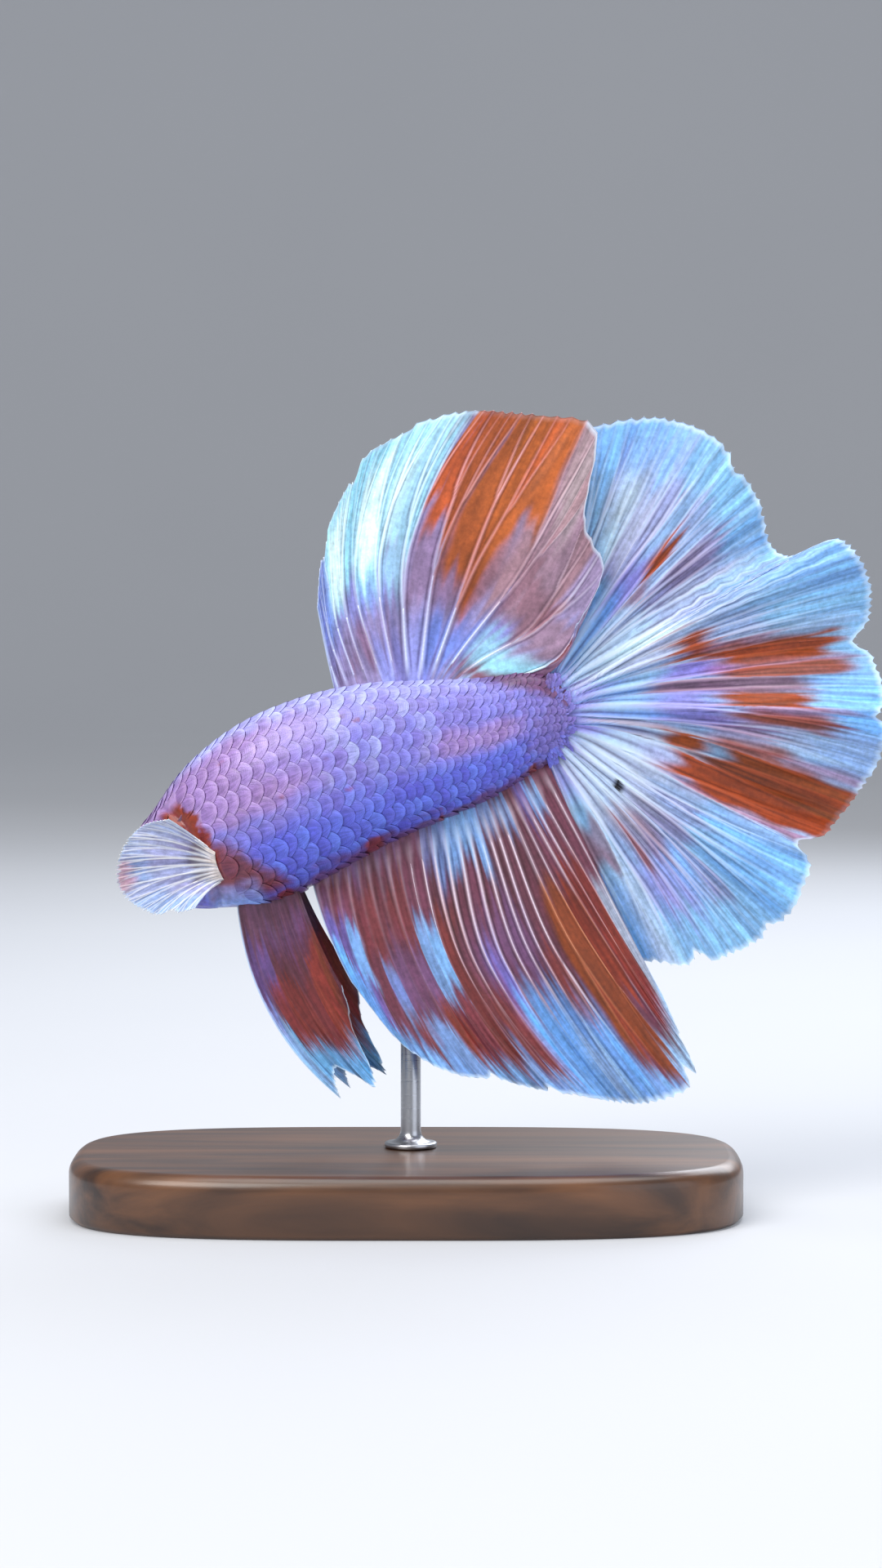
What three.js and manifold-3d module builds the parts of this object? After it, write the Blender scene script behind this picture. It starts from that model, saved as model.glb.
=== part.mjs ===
// A life-size museum model of a male betta (Siamese fighting fish) of the long-finned, wide-tailed kind,
// head low and turned a little away, fins spread, on a plain stand. It is one still model with no joints.
// Millimetres, +Z up. The fish faces -X with its left flank to -Y; the origin is under the middle of the
// whole model, on the underside of the stand.
import * as THREE from "three";
import { mergeVertices } from "three/addons/utils/BufferGeometryUtils.js";
import Module from "manifold-3d";

const wasm = await Module();
wasm.setup();

// ---- Driving dimensions ------------------------------------------------------------------------------
const CUT_GAP = 0.3; // the thin cut between two neighbouring pieces
const FIN_THICK = 0.6; // every fin's thickness
const SMALLEST = 0.015; // detail finer than this is dropped from a solid
const RING_POINTS = 24; // points round a body section
const STATION_STEP = 0.03; // spacing of the body sections, as a share of the body's length
const END_ROUND = 0.03; // share of the body's length over which each end is rounded off

// The body, snout to tail root, at even steps: where the back and the belly lie (x, z), half the width,
// and how far the midline is bent away from the straight (y).
const BODY = [
  { back: [-22.8, -9.1], belly: [-23.0, -10.4], halfWidth: 0.9, aside: 7.4 },
  { back: [-22.1, -6.1], belly: [-21.2, -11.9], halfWidth: 2.2, aside: 5.1 },
  { back: [-20.1, -3.4], belly: [-18.2, -13.1], halfWidth: 3.6, aside: 3.1 },
  { back: [-16.7, 1.3], belly: [-13.6, -13.2], halfWidth: 4.6, aside: 1.5 },
  { back: [-11.6, 5.3], belly: [-8.0, -12.5], halfWidth: 5.1, aside: 0.5 },
  { back: [-5.4, 7.9], belly: [-2.6, -9.7], halfWidth: 4.9, aside: 0.1 },
  { back: [0.8, 9.2], belly: [2.6, -6.8], halfWidth: 4.5, aside: 0.0 },
  { back: [6.8, 9.5], belly: [7.8, -4.5], halfWidth: 3.9, aside: 0.1 },
  { back: [12.2, 9.7], belly: [12.6, -2.4], halfWidth: 3.1, aside: 0.3 },
  { back: [16.8, 10.3], belly: [16.9, 0.2], halfWidth: 2.2, aside: 0.7 },
  { back: [20.7, 8.7], belly: [20.5, 2.7], halfWidth: 1.4, aside: 1.1 },
];
const HEAD_END = 0.3; // shares of the body's length where it is parted
const TRUNK_END = 0.82;
const SECTION_FULLNESS = 0.88; // 1 is an ellipse, less is squarer across

// The eye, on the side of the head.
const EYE = { at: 0.145, angle: 74, radius: 1.55, standsOut: 0.55 };

// The gill cover: a plate over the cheek, from behind the eye to the head's end.
const GILL_COVER = { from: 0.2, to: 0.286, top: 66, bottom: 146, arc: 0.035, thick: 1.0 };

// The lower jaw: below the mouth's cleft, which slants down from the snout's tip to its corners.
const JAW = { to: 0.095, cleft: [78, 118] };

// Fins. Each is a fan of rays from a root line to its margin. A key is a ray: its tip (x, z), and its bow,
// the height of its arc as a share of its length. Rays between the keys follow a smooth curve.
const DORSAL = {
  keys: [
    [-4.1, 16.8, 0.01], [-3.7, 22.4, 0.03], [-1.6, 28.0, 0.06], [1.2, 32.2, 0.09], [5.2, 34.6, 0.11],
    [9.6, 35.6, 0.11], [13.6, 35.8, 0.09], [18.0, 35.4, 0.03], [23.2, 34.2, -0.02], [22.2, 25.6, -0.05],
    [24.2, 20.6, -0.07], [21.4, 14.8, -0.12],
  ],
  lean: -2.6,
  ripple: 0.9,
  pleats: 3.5,
  grid: [30, 5],
};
const CAUDAL = {
  keys: [
    [20.4, 34.2, -0.01], [29.0, 35.8, 0.0], [35.6, 33.6, -0.01], [39.8, 28.0, 0.02], [42.0, 22.0, 0.02],
    [47.6, 23.4, 0.02], [50.7, 19.2, 0.03], [51.2, 13.0, 0.03], [52.5, 7.2, 0.02], [52.0, 1.4, 0.04],
    [48.4, -4.0, 0.02], [45.4, -8.4, -0.03], [42.0, -15.2, 0.01], [37.2, -18.3, 0.03], [32.4, -19.2, 0.03],
    [28.6, -19.0, 0.01],
  ],
  lean: 2.4,
  ripple: 2.3,
  pleats: 5,
  grid: [56, 6],
};
const ANAL = {
  keys: [
    [-0.6, -20.4, -0.04], [4.2, -26.4, -0.07], [9.2, -29.4, -0.07], [13.8, -30.2, -0.08],
    [18.0, -30.8, -0.09], [22.4, -31.6, -0.09], [26.2, -32.4, -0.05], [30.0, -32.0, -0.04],
    [33.2, -30.2, -0.03], [32.0, -26.4, -0.02], [29.8, -21.6, -0.01],
  ],
  lean: -2.2,
  ripple: 0.9,
  pleats: 4,
  grid: [32, 6],
};
const PELVIC = {
  keys: [
    [-1.6, -31.6, -0.11], [-1.9, -29.8, -0.09], [0.2, -29.6, -0.08], [2.0, -30.4, -0.07],
    [0.7, -26.8, -0.05], [-1.6, -20.4, -0.03],
  ],
  lean: -3.4,
  ripple: 0.4,
  pleats: 1.5,
  grid: [9, 6],
};
const PECTORAL = {
  keys: [
    [-18.2, -4.0, -0.02], [-20.6, -5.0, -0.1], [-22.4, -6.7, -0.07], [-23.1, -8.8, -0.03],
    [-22.5, -11.0, -0.04], [-20.9, -12.2, -0.04], [-18.7, -13.0, -0.08], [-15.9, -12.5, -0.07],
  ],
  lean: -3.6,
  ripple: 0.3,
  pleats: 2,
  grid: [12, 4],
};

// The stand: a flat rounded base, and one rod that goes into the belly on the right of the anal fin.
const BASE = { long: 66, wide: 38, thick: 6, edge: 0.8, x: 4.6, y: 0, top: -37 };
const ROD = { x: 5.0, y: 2.3, radius: 1.0, top: -1.4, footRadius: 2.6, footHigh: 1.2 };
const SEAT_GAP = 0.05; // between the rod's foot and the base

// ---- Helpers -----------------------------------------------------------------------------------------
const radians = THREE.MathUtils.degToRad;
const mix = THREE.MathUtils.lerp;

/** A smooth curve through evenly spaced keys, each a list of numbers; s runs from 0 to 1. */
function through(keys, s) {
  const x = Math.min(Math.max(s, 0), 1) * (keys.length - 1);
  const i = Math.min(Math.floor(x), keys.length - 2);
  const f = x - i;
  const key = (k) => keys[Math.min(Math.max(k, 0), keys.length - 1)];
  return keys[0].map((_, c) => {
    const [p, a, b, q] = [key(i - 1)[c], key(i)[c], key(i + 1)[c], key(i + 2)[c]];
    return a + 0.5 * f * (b - p + f * (2 * p - 5 * a + 4 * b - q + f * (3 * (a - b) + q - p)));
  });
}

/** A manifold-3d solid of a closed geometry, turned the right way out. */
function solidOf(geometry) {
  const bare = geometry.clone();
  bare.deleteAttribute("normal");
  bare.deleteAttribute("uv");
  const merged = mergeVertices(bare, 1e-4);
  const triVerts = new Uint32Array(merged.index.array);
  const build = () =>
    new wasm.Manifold(
      new wasm.Mesh({ numProp: 3, vertProperties: merged.attributes.position.array, triVerts }),
    );
  if (build().volume() < 0)
    for (let i = 0; i < triVerts.length; i += 3)
      [triVerts[i + 1], triVerts[i + 2]] = [triVerts[i + 2], triVerts[i + 1]];
  return build();
}

/** The largest body of a solid, once cuts have parted slivers from it, without needless small faces. */
function largest(solid) {
  const bodies = solid.simplify(SMALLEST).decompose();
  return bodies.reduce((a, b) => (b.volume() > a.volume() ? b : a));
}

/** A named three.js mesh of a solid. */
function meshOf(name, solid, material) {
  const { numProp, vertProperties, triVerts, numVert } = solid.getMesh();
  const places = new Float32Array(numVert * 3);
  for (let i = 0; i < numVert; i++)
    places.set(vertProperties.subarray(i * numProp, i * numProp + 3), i * 3);
  const geometry = new THREE.BufferGeometry();
  geometry.setAttribute("position", new THREE.BufferAttribute(places, 3));
  geometry.setIndex(new THREE.BufferAttribute(new Uint32Array(triVerts), 1));
  geometry.computeVertexNormals();
  const mesh = new THREE.Mesh(geometry, material);
  mesh.name = name;
  return mesh;
}

/** A closed geometry of equal rings of points, each end closed from side to side. */
function ringsGeometry(rings) {
  const n = rings[0].length;
  const faces = [];
  for (let r = 0; r + 1 < rings.length; r++)
    for (let i = 0; i < n; i++) {
      const [a, b] = [r * n + i, r * n + ((i + 1) % n)];
      faces.push(a, b, b + n, a, b + n, a + n);
    }
  const last = (rings.length - 1) * n;
  for (let i = 0; i + 1 < n - 1 - i; i++) {
    const [a, b, c, d] = [i, i + 1, n - 2 - i, n - 1 - i];
    faces.push(a, d, b, last + a, last + b, last + d);
    if (b !== c) faces.push(b, d, c, last + b, last + c, last + d);
  }
  const geometry = new THREE.BufferGeometry().setFromPoints(rings.flat());
  geometry.setIndex(faces);
  return geometry;
}

// ---- The body ----------------------------------------------------------------------------------------
const stationRows = BODY.map((s) => [...s.back, ...s.belly, s.halfWidth, s.aside]);

/** How far a section keeps its full size near the snout and the tail root, which are rounded. */
function endRounding(t) {
  const fromEnd = Math.min(t, 1 - t) / END_ROUND;
  return fromEnd >= 1 ? 1 : Math.sqrt(1 - 0.97 * (1 - fromEnd) ** 2);
}

/** The body's section at t: its centre, its half-depth and half-width, and its up and left directions. */
function section(t) {
  const [backX, backZ, bellyX, bellyZ, halfWidth, aside] = through(stationRows, t);
  const centreAt = (s) => {
    const [bx, bz, lx, lz, , y] = through(stationRows, s);
    return new THREE.Vector3((bx + lx) / 2, y, (bz + lz) / 2);
  };
  const up = new THREE.Vector3(backX - bellyX, 0, backZ - bellyZ);
  const halfDepth = (up.length() / 2) * endRounding(t);
  up.normalize();
  const ahead = centreAt(Math.min(t + 0.02, 1)).sub(centreAt(Math.max(t - 0.02, 0)));
  const left = ahead.cross(up).normalize();
  return { centre: centreAt(t), up, left, halfDepth, halfWidth: halfWidth * endRounding(t) };
}

/** A point of the body's surface: angle is from the back, in degrees, positive down the left flank. */
function bodyPoint(t, angle, grow = 0) {
  const { centre, up, left, halfDepth, halfWidth } = section(t);
  const [c, s] = [Math.cos(radians(angle)), Math.sin(radians(angle))];
  const across = Math.sign(s) * Math.abs(s) ** SECTION_FULLNESS;
  return centre
    .addScaledVector(up, (halfDepth + grow) * c)
    .addScaledVector(left, (halfWidth + grow) * across);
}

/** The body's length from t0 to t1 as a solid, with grow added all round. */
function bodyLength(t0, t1, grow = 0) {
  const steps = Math.round((t1 - t0) / STATION_STEP);
  const even = Array.from({ length: steps - 1 }, (_, k) => mix(t0, t1, (k + 1) / steps));
  const nearEnds = [0.005, 0.014].flatMap((e) => [e, 1 - e]).filter((t) => t > t0 && t < t1);
  const places = [t0, ...nearEnds, ...even, t1].sort((a, b) => a - b);
  const ringAt = (t) =>
    Array.from({ length: RING_POINTS }, (_, i) => bodyPoint(t, (360 * i) / RING_POINTS, grow));
  return solidOf(ringsGeometry(places.map(ringAt)));
}

const halfCut = (CUT_GAP / 2) / 46; // half the thin cut, as a share of the body's length
const wholeHead = bodyLength(0, HEAD_END - halfCut);
const wholeBody = bodyLength(0, 1);
const bodyAndGap = bodyLength(0, 1, CUT_GAP);

/** An eyeball on one side: 1 is left, -1 is right. */
function eyeball(side, grow = 0) {
  const surface = bodyPoint(EYE.at, side * EYE.angle);
  const inwards = section(EYE.at).centre.sub(surface).normalize();
  const centre = surface.addScaledVector(inwards, EYE.radius - EYE.standsOut);
  const ball = new THREE.SphereGeometry(EYE.radius + grow, 14, 9);
  ball.rotateX(Math.PI / 2);
  return solidOf(ball.translate(centre.x, centre.y, centre.z));
}

/** The block over one cheek that parts the gill cover from the head. Its front edge is an arc. */
function cheekBlock(side, grow = 0) {
  const steps = 8;
  const ringAt = (k) => {
    const share = k / steps;
    const reach = k === 0 ? -grow * 9 : k === steps ? grow * 9 : 0;
    const angle = side * (mix(GILL_COVER.top, GILL_COVER.bottom, share) + reach);
    const front = GILL_COVER.from + GILL_COVER.arc * (2 * share - 1) ** 2;
    const places = [front - grow / 46, front + 0.02, GILL_COVER.to + 0.1];
    const edge = (depth) => places.map((t) => bodyPoint(t, angle, depth));
    return [...edge(2), ...edge(-GILL_COVER.thick - grow).reverse()];
  };
  return solidOf(ringsGeometry(Array.from({ length: steps + 1 }, (_, k) => ringAt(k))));
}

/** The block under the mouth's cleft that parts the lower jaw from the head. */
function jawBlock(grow = 0) {
  const rings = [];
  for (const t of [0, JAW.to / 2, JAW.to + grow / 46]) {
    const from = mix(...JAW.cleft, t / JAW.to) - grow * 20;
    const ring = [];
    for (let k = 0; k <= 8; k++) ring.push(bodyPoint(t, mix(from, 360 - from, k / 8), 2));
    rings.push(ring);
  }
  const snout = section(0);
  const lead = snout.left.clone().cross(snout.up).multiplyScalar(2);
  rings.unshift(rings[0].map((p) => p.clone().add(lead)));
  return solidOf(ringsGeometry(rings));
}

// ---- The fins ----------------------------------------------------------------------------------------
/** A point of a fin's middle surface: u runs across the rays, v from root to margin. */
function finPoint(fin, root, u, v) {
  const r = root(u);
  const [tipX, tipZ, bow] = through(fin.keys, u);
  const [dx, dz] = [tipX - r.x, tipZ - r.z];
  const arc = 4 * bow * v * (1 - v);
  const calm = Math.sin(Math.PI * Math.min(Math.max(u, 0), 1)) ** 0.7;
  const wave = fin.ripple * calm * Math.max(v, 0) ** 1.5 * Math.sin(2 * Math.PI * fin.pleats * u);
  const leaning = typeof fin.lean === "function" ? fin.lean(u) : fin.lean;
  return new THREE.Vector3(r.x + dx * v - dz * arc, r.y + leaning * v + wave, r.z + dz * v + dx * arc);
}

/** A fin as a closed sheet, its thickness measured straight across the fish. */
function finSheet(fin, root) {
  const [across, along] = fin.grid;
  const side = (sign) => (i, j) => {
    const point = finPoint(fin, root, i / across, j / along);
    return point.add(new THREE.Vector3(0, (sign * FIN_THICK) / 2, 0));
  };
  const [front, back] = [side(-1), side(1)];
  const rings = [];
  for (let i = 0; i <= across; i++) {
    const ring = [];
    for (let j = 0; j <= along; j++) ring.push(front(i, j));
    for (let j = along; j >= 0; j--) ring.push(back(i, j));
    rings.push(ring);
  }
  return ringsGeometry(rings);
}

/** A root line on the body, just under its surface, from one place to another. */
function rootOnBody(from, to, sunk) {
  return (u) => {
    const s = Math.min(Math.max(u, -0.1), 1.1);
    return bodyPoint(mix(from.t, to.t, s), mix(from.angle, to.angle, s), -sunk);
  };
}

const dorsalRoot = rootOnBody({ t: 0.548, angle: 0 }, { t: 0.745, angle: 0 }, 1);
const analRoot = rootOnBody({ t: 0.462, angle: 180 }, { t: 0.93, angle: 180 }, 1);
const pelvicRoot = rootOnBody({ t: 0.335, angle: 167 }, { t: 0.44, angle: 167 }, 0.6);
const pectoralRoot = rootOnBody({ t: 0.315, angle: 104 }, { t: 0.315, angle: 128 }, 0.4);
/** The caudal fin's root follows the rounded end of the tail stem, from its top to its underside. */
const caudalRoot = (u) => {
  const [top, bottom] = [bodyPoint(0.93, 0, -1), bodyPoint(0.93, 180, -1)];
  const bulge = Math.sin(Math.PI * Math.min(Math.max(u, 0), 1)) ** 0.6 * 1.4;
  return top.lerp(bottom, u).add(new THREE.Vector3(bulge, 0, 0));
};

/** A sheet's mirror image across the body's own upright plane at t. */
function mirrored(sheet, t) {
  const { centre, left } = section(t);
  const [x, y, z] = left.toArray();
  const flip = new THREE.Matrix4().set(
    ...[1 - 2 * x * x, -2 * x * y, -2 * x * z, 0],
    ...[-2 * x * y, 1 - 2 * y * y, -2 * y * z, 0],
    ...[-2 * x * z, -2 * y * z, 1 - 2 * z * z, 0],
    ...[0, 0, 0, 1],
  );
  const home = new THREE.Matrix4().makeTranslation(centre);
  return sheet.clone().applyMatrix4(home.clone().invert().premultiply(flip).premultiply(home));
}

// ---- The stand ---------------------------------------------------------------------------------------
/** The base: a slab with an oval outline and a small flat on its upper edge. */
function standBase() {
  const [a, b] = [BASE.long / 2, BASE.wide / 2];
  const ringAt = (z, inset) =>
    Array.from({ length: 48 }, (_, i) => {
      const w = (2 * Math.PI * i) / 48;
      const power = (x) => Math.sign(x) * Math.abs(x) ** 0.6;
      return new THREE.Vector3(
        BASE.x + (a - inset) * power(Math.cos(w)),
        BASE.y + (b - inset) * power(Math.sin(w)),
        z,
      );
    });
  const bottom = BASE.top - BASE.thick;
  const slab = ringsGeometry([
    ringAt(bottom, 0),
    ringAt(BASE.top - BASE.edge, 0),
    ringAt(BASE.top, BASE.edge),
  ]);
  return solidOf(slab);
}

/** The rod: a turned foot and a straight shank with a rounded top, as one lathe profile. */
function standRod(grow = 0) {
  const foot = BASE.top + SEAT_GAP - grow;
  const profile = [
    [0, foot],
    [ROD.footRadius + grow, foot],
    [ROD.footRadius + grow, foot + ROD.footHigh * 0.6],
    [ROD.radius * 1.5 + grow, foot + ROD.footHigh],
    [ROD.radius + grow, foot + ROD.footHigh * 1.6],
    [ROD.radius + grow, ROD.top - 0.4 + grow],
    [ROD.radius * 0.6 + grow, ROD.top + grow],
    [0, ROD.top + grow],
  ].map(([x, y]) => new THREE.Vector2(x, y));
  const turned = new THREE.LatheGeometry(profile, 20);
  turned.rotateX(Math.PI / 2);
  return solidOf(turned.translate(ROD.x, ROD.y, 0));
}

// ---- Materials ---------------------------------------------------------------------------------------
const finish = (color, roughness, metalness = 0) =>
  new THREE.MeshStandardMaterial({ color, roughness, metalness });
const scaly = finish("#a98fd6", 0.4);
const headSkin = finish("#c59bc4", 0.45);
const paleFin = finish("#a9cdee", 0.45);
const redFin = finish("#a8492f", 0.45);
const clearFin = finish("#d9dfea", 0.4);
const eyeFinish = finish("#1c1a20", 0.1);
const woodFinish = finish("#4a3021", 0.4);
const steelFinish = finish("#b9bbbf", 0.3, 1);

// ---- Assembly ----------------------------------------------------------------------------------------
const model = new THREE.Group();
const add = (name, solid, material) => model.add(meshOf(name, largest(solid), material));

let head = wholeHead;
for (const side of [1, -1]) {
  const hand = side === 1 ? "left" : "right";
  add(`eye_${hand}`, eyeball(side), eyeFinish);
  head = head.subtract(eyeball(side, CUT_GAP));
}
for (const side of [1, -1]) {
  const hand = side === 1 ? "left" : "right";
  add(`gill_cover_${hand}`, head.intersect(cheekBlock(side)), headSkin);
  head = head.subtract(cheekBlock(side, CUT_GAP));
}
add("lower_jaw", head.intersect(jawBlock()), headSkin);
head = head.subtract(jawBlock(CUT_GAP));
add("head", head, headSkin);

const trunk = bodyLength(HEAD_END + halfCut, TRUNK_END - halfCut);
add("trunk", trunk.subtract(standRod(CUT_GAP)), scaly);
add("tail_stem", bodyLength(TRUNK_END + halfCut, 1), scaly);

const addFin = (name, sheet, material) => add(name, solidOf(sheet).subtract(bodyAndGap), material);
addFin("dorsal_fin", finSheet(DORSAL, dorsalRoot), redFin);
addFin("caudal_fin", finSheet(CAUDAL, caudalRoot), paleFin);
addFin("anal_fin", finSheet(ANAL, analRoot), redFin);
addFin("pelvic_fin_left", finSheet(PELVIC, pelvicRoot), redFin);
addFin("pelvic_fin_right", mirrored(finSheet(PELVIC, pelvicRoot), 0.4), redFin);
addFin("pectoral_fin_left", finSheet(PECTORAL, pectoralRoot), clearFin);
addFin("pectoral_fin_right", mirrored(finSheet(PECTORAL, pectoralRoot), 0.3), clearFin);

add("stand_base", standBase(), woodFinish);
add("stand_rod", standRod(), steelFinish);

// The origin goes under the middle of the whole model, on the base's underside.
const box = new THREE.Box3().setFromObject(model);
const middle = box.getCenter(new THREE.Vector3());
model.position.set(-middle.x, -middle.y, -box.min.z);

export default model;
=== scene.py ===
import math

import bpy
import numpy as np
from mathutils import Matrix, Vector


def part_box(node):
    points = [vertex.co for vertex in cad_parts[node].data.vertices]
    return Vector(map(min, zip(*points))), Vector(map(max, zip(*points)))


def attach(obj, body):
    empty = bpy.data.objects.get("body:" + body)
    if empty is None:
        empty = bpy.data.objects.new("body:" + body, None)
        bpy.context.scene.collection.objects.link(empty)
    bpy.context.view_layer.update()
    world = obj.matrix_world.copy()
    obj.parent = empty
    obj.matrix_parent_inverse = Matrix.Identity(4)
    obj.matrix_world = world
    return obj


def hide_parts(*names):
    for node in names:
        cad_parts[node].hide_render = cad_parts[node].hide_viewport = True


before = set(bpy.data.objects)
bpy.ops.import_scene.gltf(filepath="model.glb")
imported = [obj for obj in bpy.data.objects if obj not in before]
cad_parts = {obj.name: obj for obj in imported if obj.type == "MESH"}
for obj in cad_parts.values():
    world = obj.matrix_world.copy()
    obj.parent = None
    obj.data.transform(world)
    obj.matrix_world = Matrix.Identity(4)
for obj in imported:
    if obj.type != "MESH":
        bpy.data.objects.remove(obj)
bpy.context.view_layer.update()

# ---- The stand's base --------------------------------------------------------------------------------
# An oval slab of walnut, cut with a bandsaw, its upper edge rounded over by a router, sanded and given a
# satin lacquer. It lies flat on the shelf and carries the rod in a drilled hole.
MM = 0.001
BASE = dict(long=66, wide=38, x=4.6, y=0.0, bottom=-43.0, top=-37.0)
BASE.update(squareness=0.6, edge_radius=1.4, bevel=0.5)
# Every shape is worked out in the fish's own millimetres; the slab's box says where those lie in the frame.
low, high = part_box("stand_base")
under_slab = np.array([(low.x + high.x) / 2, (low.y + high.y) / 2, low.z])
SHIFT = under_slab / MM - [BASE["x"], BASE["y"], BASE["bottom"]]


def linear(hex_colour):
    """An sRGB hex colour as linear RGBA."""
    parts = [int(hex_colour[i : i + 2], 16) / 255 for i in (1, 3, 5)]
    return [p / 12.92 if p <= 0.04045 else ((p + 0.055) / 1.055) ** 2.4 for p in parts] + [1.0]


def set_inputs(material, made, links):
    """Sets a node's inputs: each is given a number, a colour or another node's output."""
    for key, value in links.items():
        if isinstance(value, bpy.types.NodeSocket):
            material.node_tree.links.new(value, made.inputs[key])
        else:
            made.inputs[key].default_value = value


def add_node(material, kind, links, output=0, **settings):
    """Adds one shader node and gives its output."""
    made = material.node_tree.nodes.new("ShaderNode" + kind)
    for key, value in settings.items():
        setattr(made, key, value)
    set_inputs(material, made, links)
    return made.outputs[output]


def dress(material, **surface):
    """Sets the Principled shader's own inputs, as in Base_Color=..."""
    shader = material.node_tree.nodes["Principled BSDF"]
    set_inputs(material, shader, {key.replace("_", " "): value for key, value in surface.items()})


def new_material(name, **surface):
    """A material with one Principled shader and its plain values."""
    material = bpy.data.materials.new(name)
    material.use_nodes = True
    dress(material, **surface)
    return material


def noise(material, scale, detail=2.0, place=None, **more):
    """Cloudy noise from 0 to 1, over the object's own space unless a place is given."""
    place = add_node(material, "TexCoord", {}, "Object") if place is None else place
    return add_node(material, "TexNoise", {0: place, "Scale": scale, "Detail": detail, **more})


def ranged(material, value, low, high, span=(0.3, 0.7)):
    """A value that runs over a span, made to run from low to high."""
    return add_node(material, "MapRange", {0: value, 1: span[0], 2: span[1], 3: low, 4: high})


def ramp(material, value, *stops):
    """A colour ramp, from (position, hex colour) pairs."""
    colour = add_node(material, "ValToRGB", {0: value})
    elements = colour.node.color_ramp.elements
    elements[0].position, elements[1].position = stops[0][0], stops[-1][0]
    for position, _ in stops[1:-1]:
        elements.new(position)
    for element, (_, hex_colour) in zip(elements, stops):
        element.color = linear(hex_colour)
    return colour


def bump(material, height, strength, distance):
    """Fine relief from a height, as a normal."""
    return add_node(material, "Bump", {"Strength": strength, "Distance": distance, "Height": height})


def quads_of(rows, columns, wrap=False, first=0):
    """The four-sided faces of a grid of points; wrap joins the last column to the first."""
    row, column = np.meshgrid(np.arange(rows - 1), np.arange(columns - (not wrap)), indexing="ij")
    corners = [row * columns + column, row * columns + (column + 1) % columns]
    corners += [corners[1] + columns, corners[0] + columns]
    return first + np.stack(corners, -1).reshape(-1, 4)


def fan_of(ring, middle, turned=False):
    """Three-sided faces from a ring of points to a middle one."""
    after = np.roll(ring, -1)
    return np.stack([np.full(len(ring), middle), *([after, ring] if turned else [ring, after])], -1)


def tube_faces(rows, columns, first=0, turned=False):
    """The faces of rings of points, each end closed to a middle point; those two come after the rings."""
    last = first + rows * columns
    sides = quads_of(rows, columns, wrap=True, first=first)
    return [
        sides[:, ::-1] if turned else sides,
        fan_of(first + np.arange(columns), last, not turned),
        fan_of(last - columns + np.arange(columns), last + 1, turned),
    ]


def make_piece(name, points, faces, material, uv=None, tags=None):
    """A smooth mesh from points in the fish's own millimetres. faces is a list of index arrays, uv one
    pair for each point or for each face corner, tags named numbers at the points for the materials."""
    mesh = bpy.data.meshes.new(name)
    places = (np.asarray(points, float).reshape(-1, 3) + SHIFT) * MM
    mesh.vertices.add(len(places))
    mesh.vertices.foreach_set("co", places.ravel().astype(np.float32))
    corners = np.concatenate([f.ravel() for f in faces]).astype(np.int32)
    sizes = np.concatenate([np.full(len(f), f.shape[1]) for f in faces])
    mesh.loops.add(len(corners))
    mesh.loops.foreach_set("vertex_index", corners)
    mesh.polygons.add(len(sizes))
    mesh.polygons.foreach_set("loop_start", np.concatenate([[0], np.cumsum(sizes)[:-1]]).astype(np.int32))
    mesh.polygons.foreach_set("use_smooth", np.ones(len(sizes), bool))
    if uv is not None:
        flat = np.asarray(uv, float).reshape(-1, 2)
        flat = flat if len(flat) == len(corners) else flat[corners]
        mesh.uv_layers.new(name="OFBake").data.foreach_set("uv", flat.ravel().astype(np.float32))
    for key, values in (tags or {}).items():
        values = np.asarray(values, float).ravel().astype(np.float32)
        mesh.attributes.new(key, "FLOAT", "POINT").data.foreach_set("value", values)
    mesh.update(calc_edges=True)
    mesh.materials.append(material)
    piece = bpy.data.objects.new(name, mesh)
    bpy.context.scene.collection.objects.link(piece)
    return piece


def oval_ring(inset, z, sides=120):
    """One level of the base's outline."""
    turn = 2 * np.pi * np.arange(sides) / sides
    power = lambda x: np.sign(x) * np.abs(x) ** BASE["squareness"]
    x = BASE["x"] + (BASE["long"] / 2 - inset) * power(np.cos(turn))
    y = BASE["y"] + (BASE["wide"] / 2 - inset) * power(np.sin(turn))
    return np.stack([x, y, np.full(sides, z)], -1)


# Walnut: warm dark brown with long grain, the latewood lines about 1.5 mm apart, under a satin lacquer.
walnut = new_material("satin_walnut", Roughness=0.38, Coat_Weight=0.35, Coat_Roughness=0.2)
place = add_node(walnut, "TexCoord", {}, "Object")
along = add_node(walnut, "Mapping", {0: place, "Scale": (0.10, 1.0, 1.0)})
grain = noise(walnut, 260.0, 5.0, along, Distortion=0.6)
grain = ramp(walnut, grain, (0.35, "#2c1a10"), (0.68, "#6b4529"))
dress(walnut, Base_Color=grain, Normal=bump(walnut, noise(walnut, 2400.0, 2.0, along), 0.12, 0.0001))

curve, radius = np.radians(np.linspace(0, 90, 7)), BASE["edge_radius"]
levels = [(BASE["bevel"], BASE["bottom"]), (0.0, BASE["bottom"] + BASE["bevel"])]
levels += [(radius * (1 - np.cos(a)), BASE["top"] - radius * (1 - np.sin(a))) for a in curve]
rings = [oval_ring(inset, z) for inset, z in levels]
middles = [[BASE["x"], BASE["y"], BASE[end]] for end in ("bottom", "top")]
points = np.concatenate([*rings, middles])
base = make_piece("stand_base_oval", points, tube_faces(len(rings), len(rings[0])), walnut)
base.data.polygons.foreach_set("use_smooth", [len(p.vertices) == 4 for p in base.data.polygons])
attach(base, "root")
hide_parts("stand_base")

# ---- The stand's rod ---------------------------------------------------------------------------------
# A turned steel rod with a small spreading foot. It is pressed into the base and goes up beside the anal
# fin into a hole in the belly, where it holds the whole fish.
ROD = dict(x=5.0, y=2.3, radius=1.0, top=-1.4, point=0.4)
ROD.update(foot_radius=2.6, foot_thick=0.55, flare=1.2, over_base=0.02)


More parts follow.
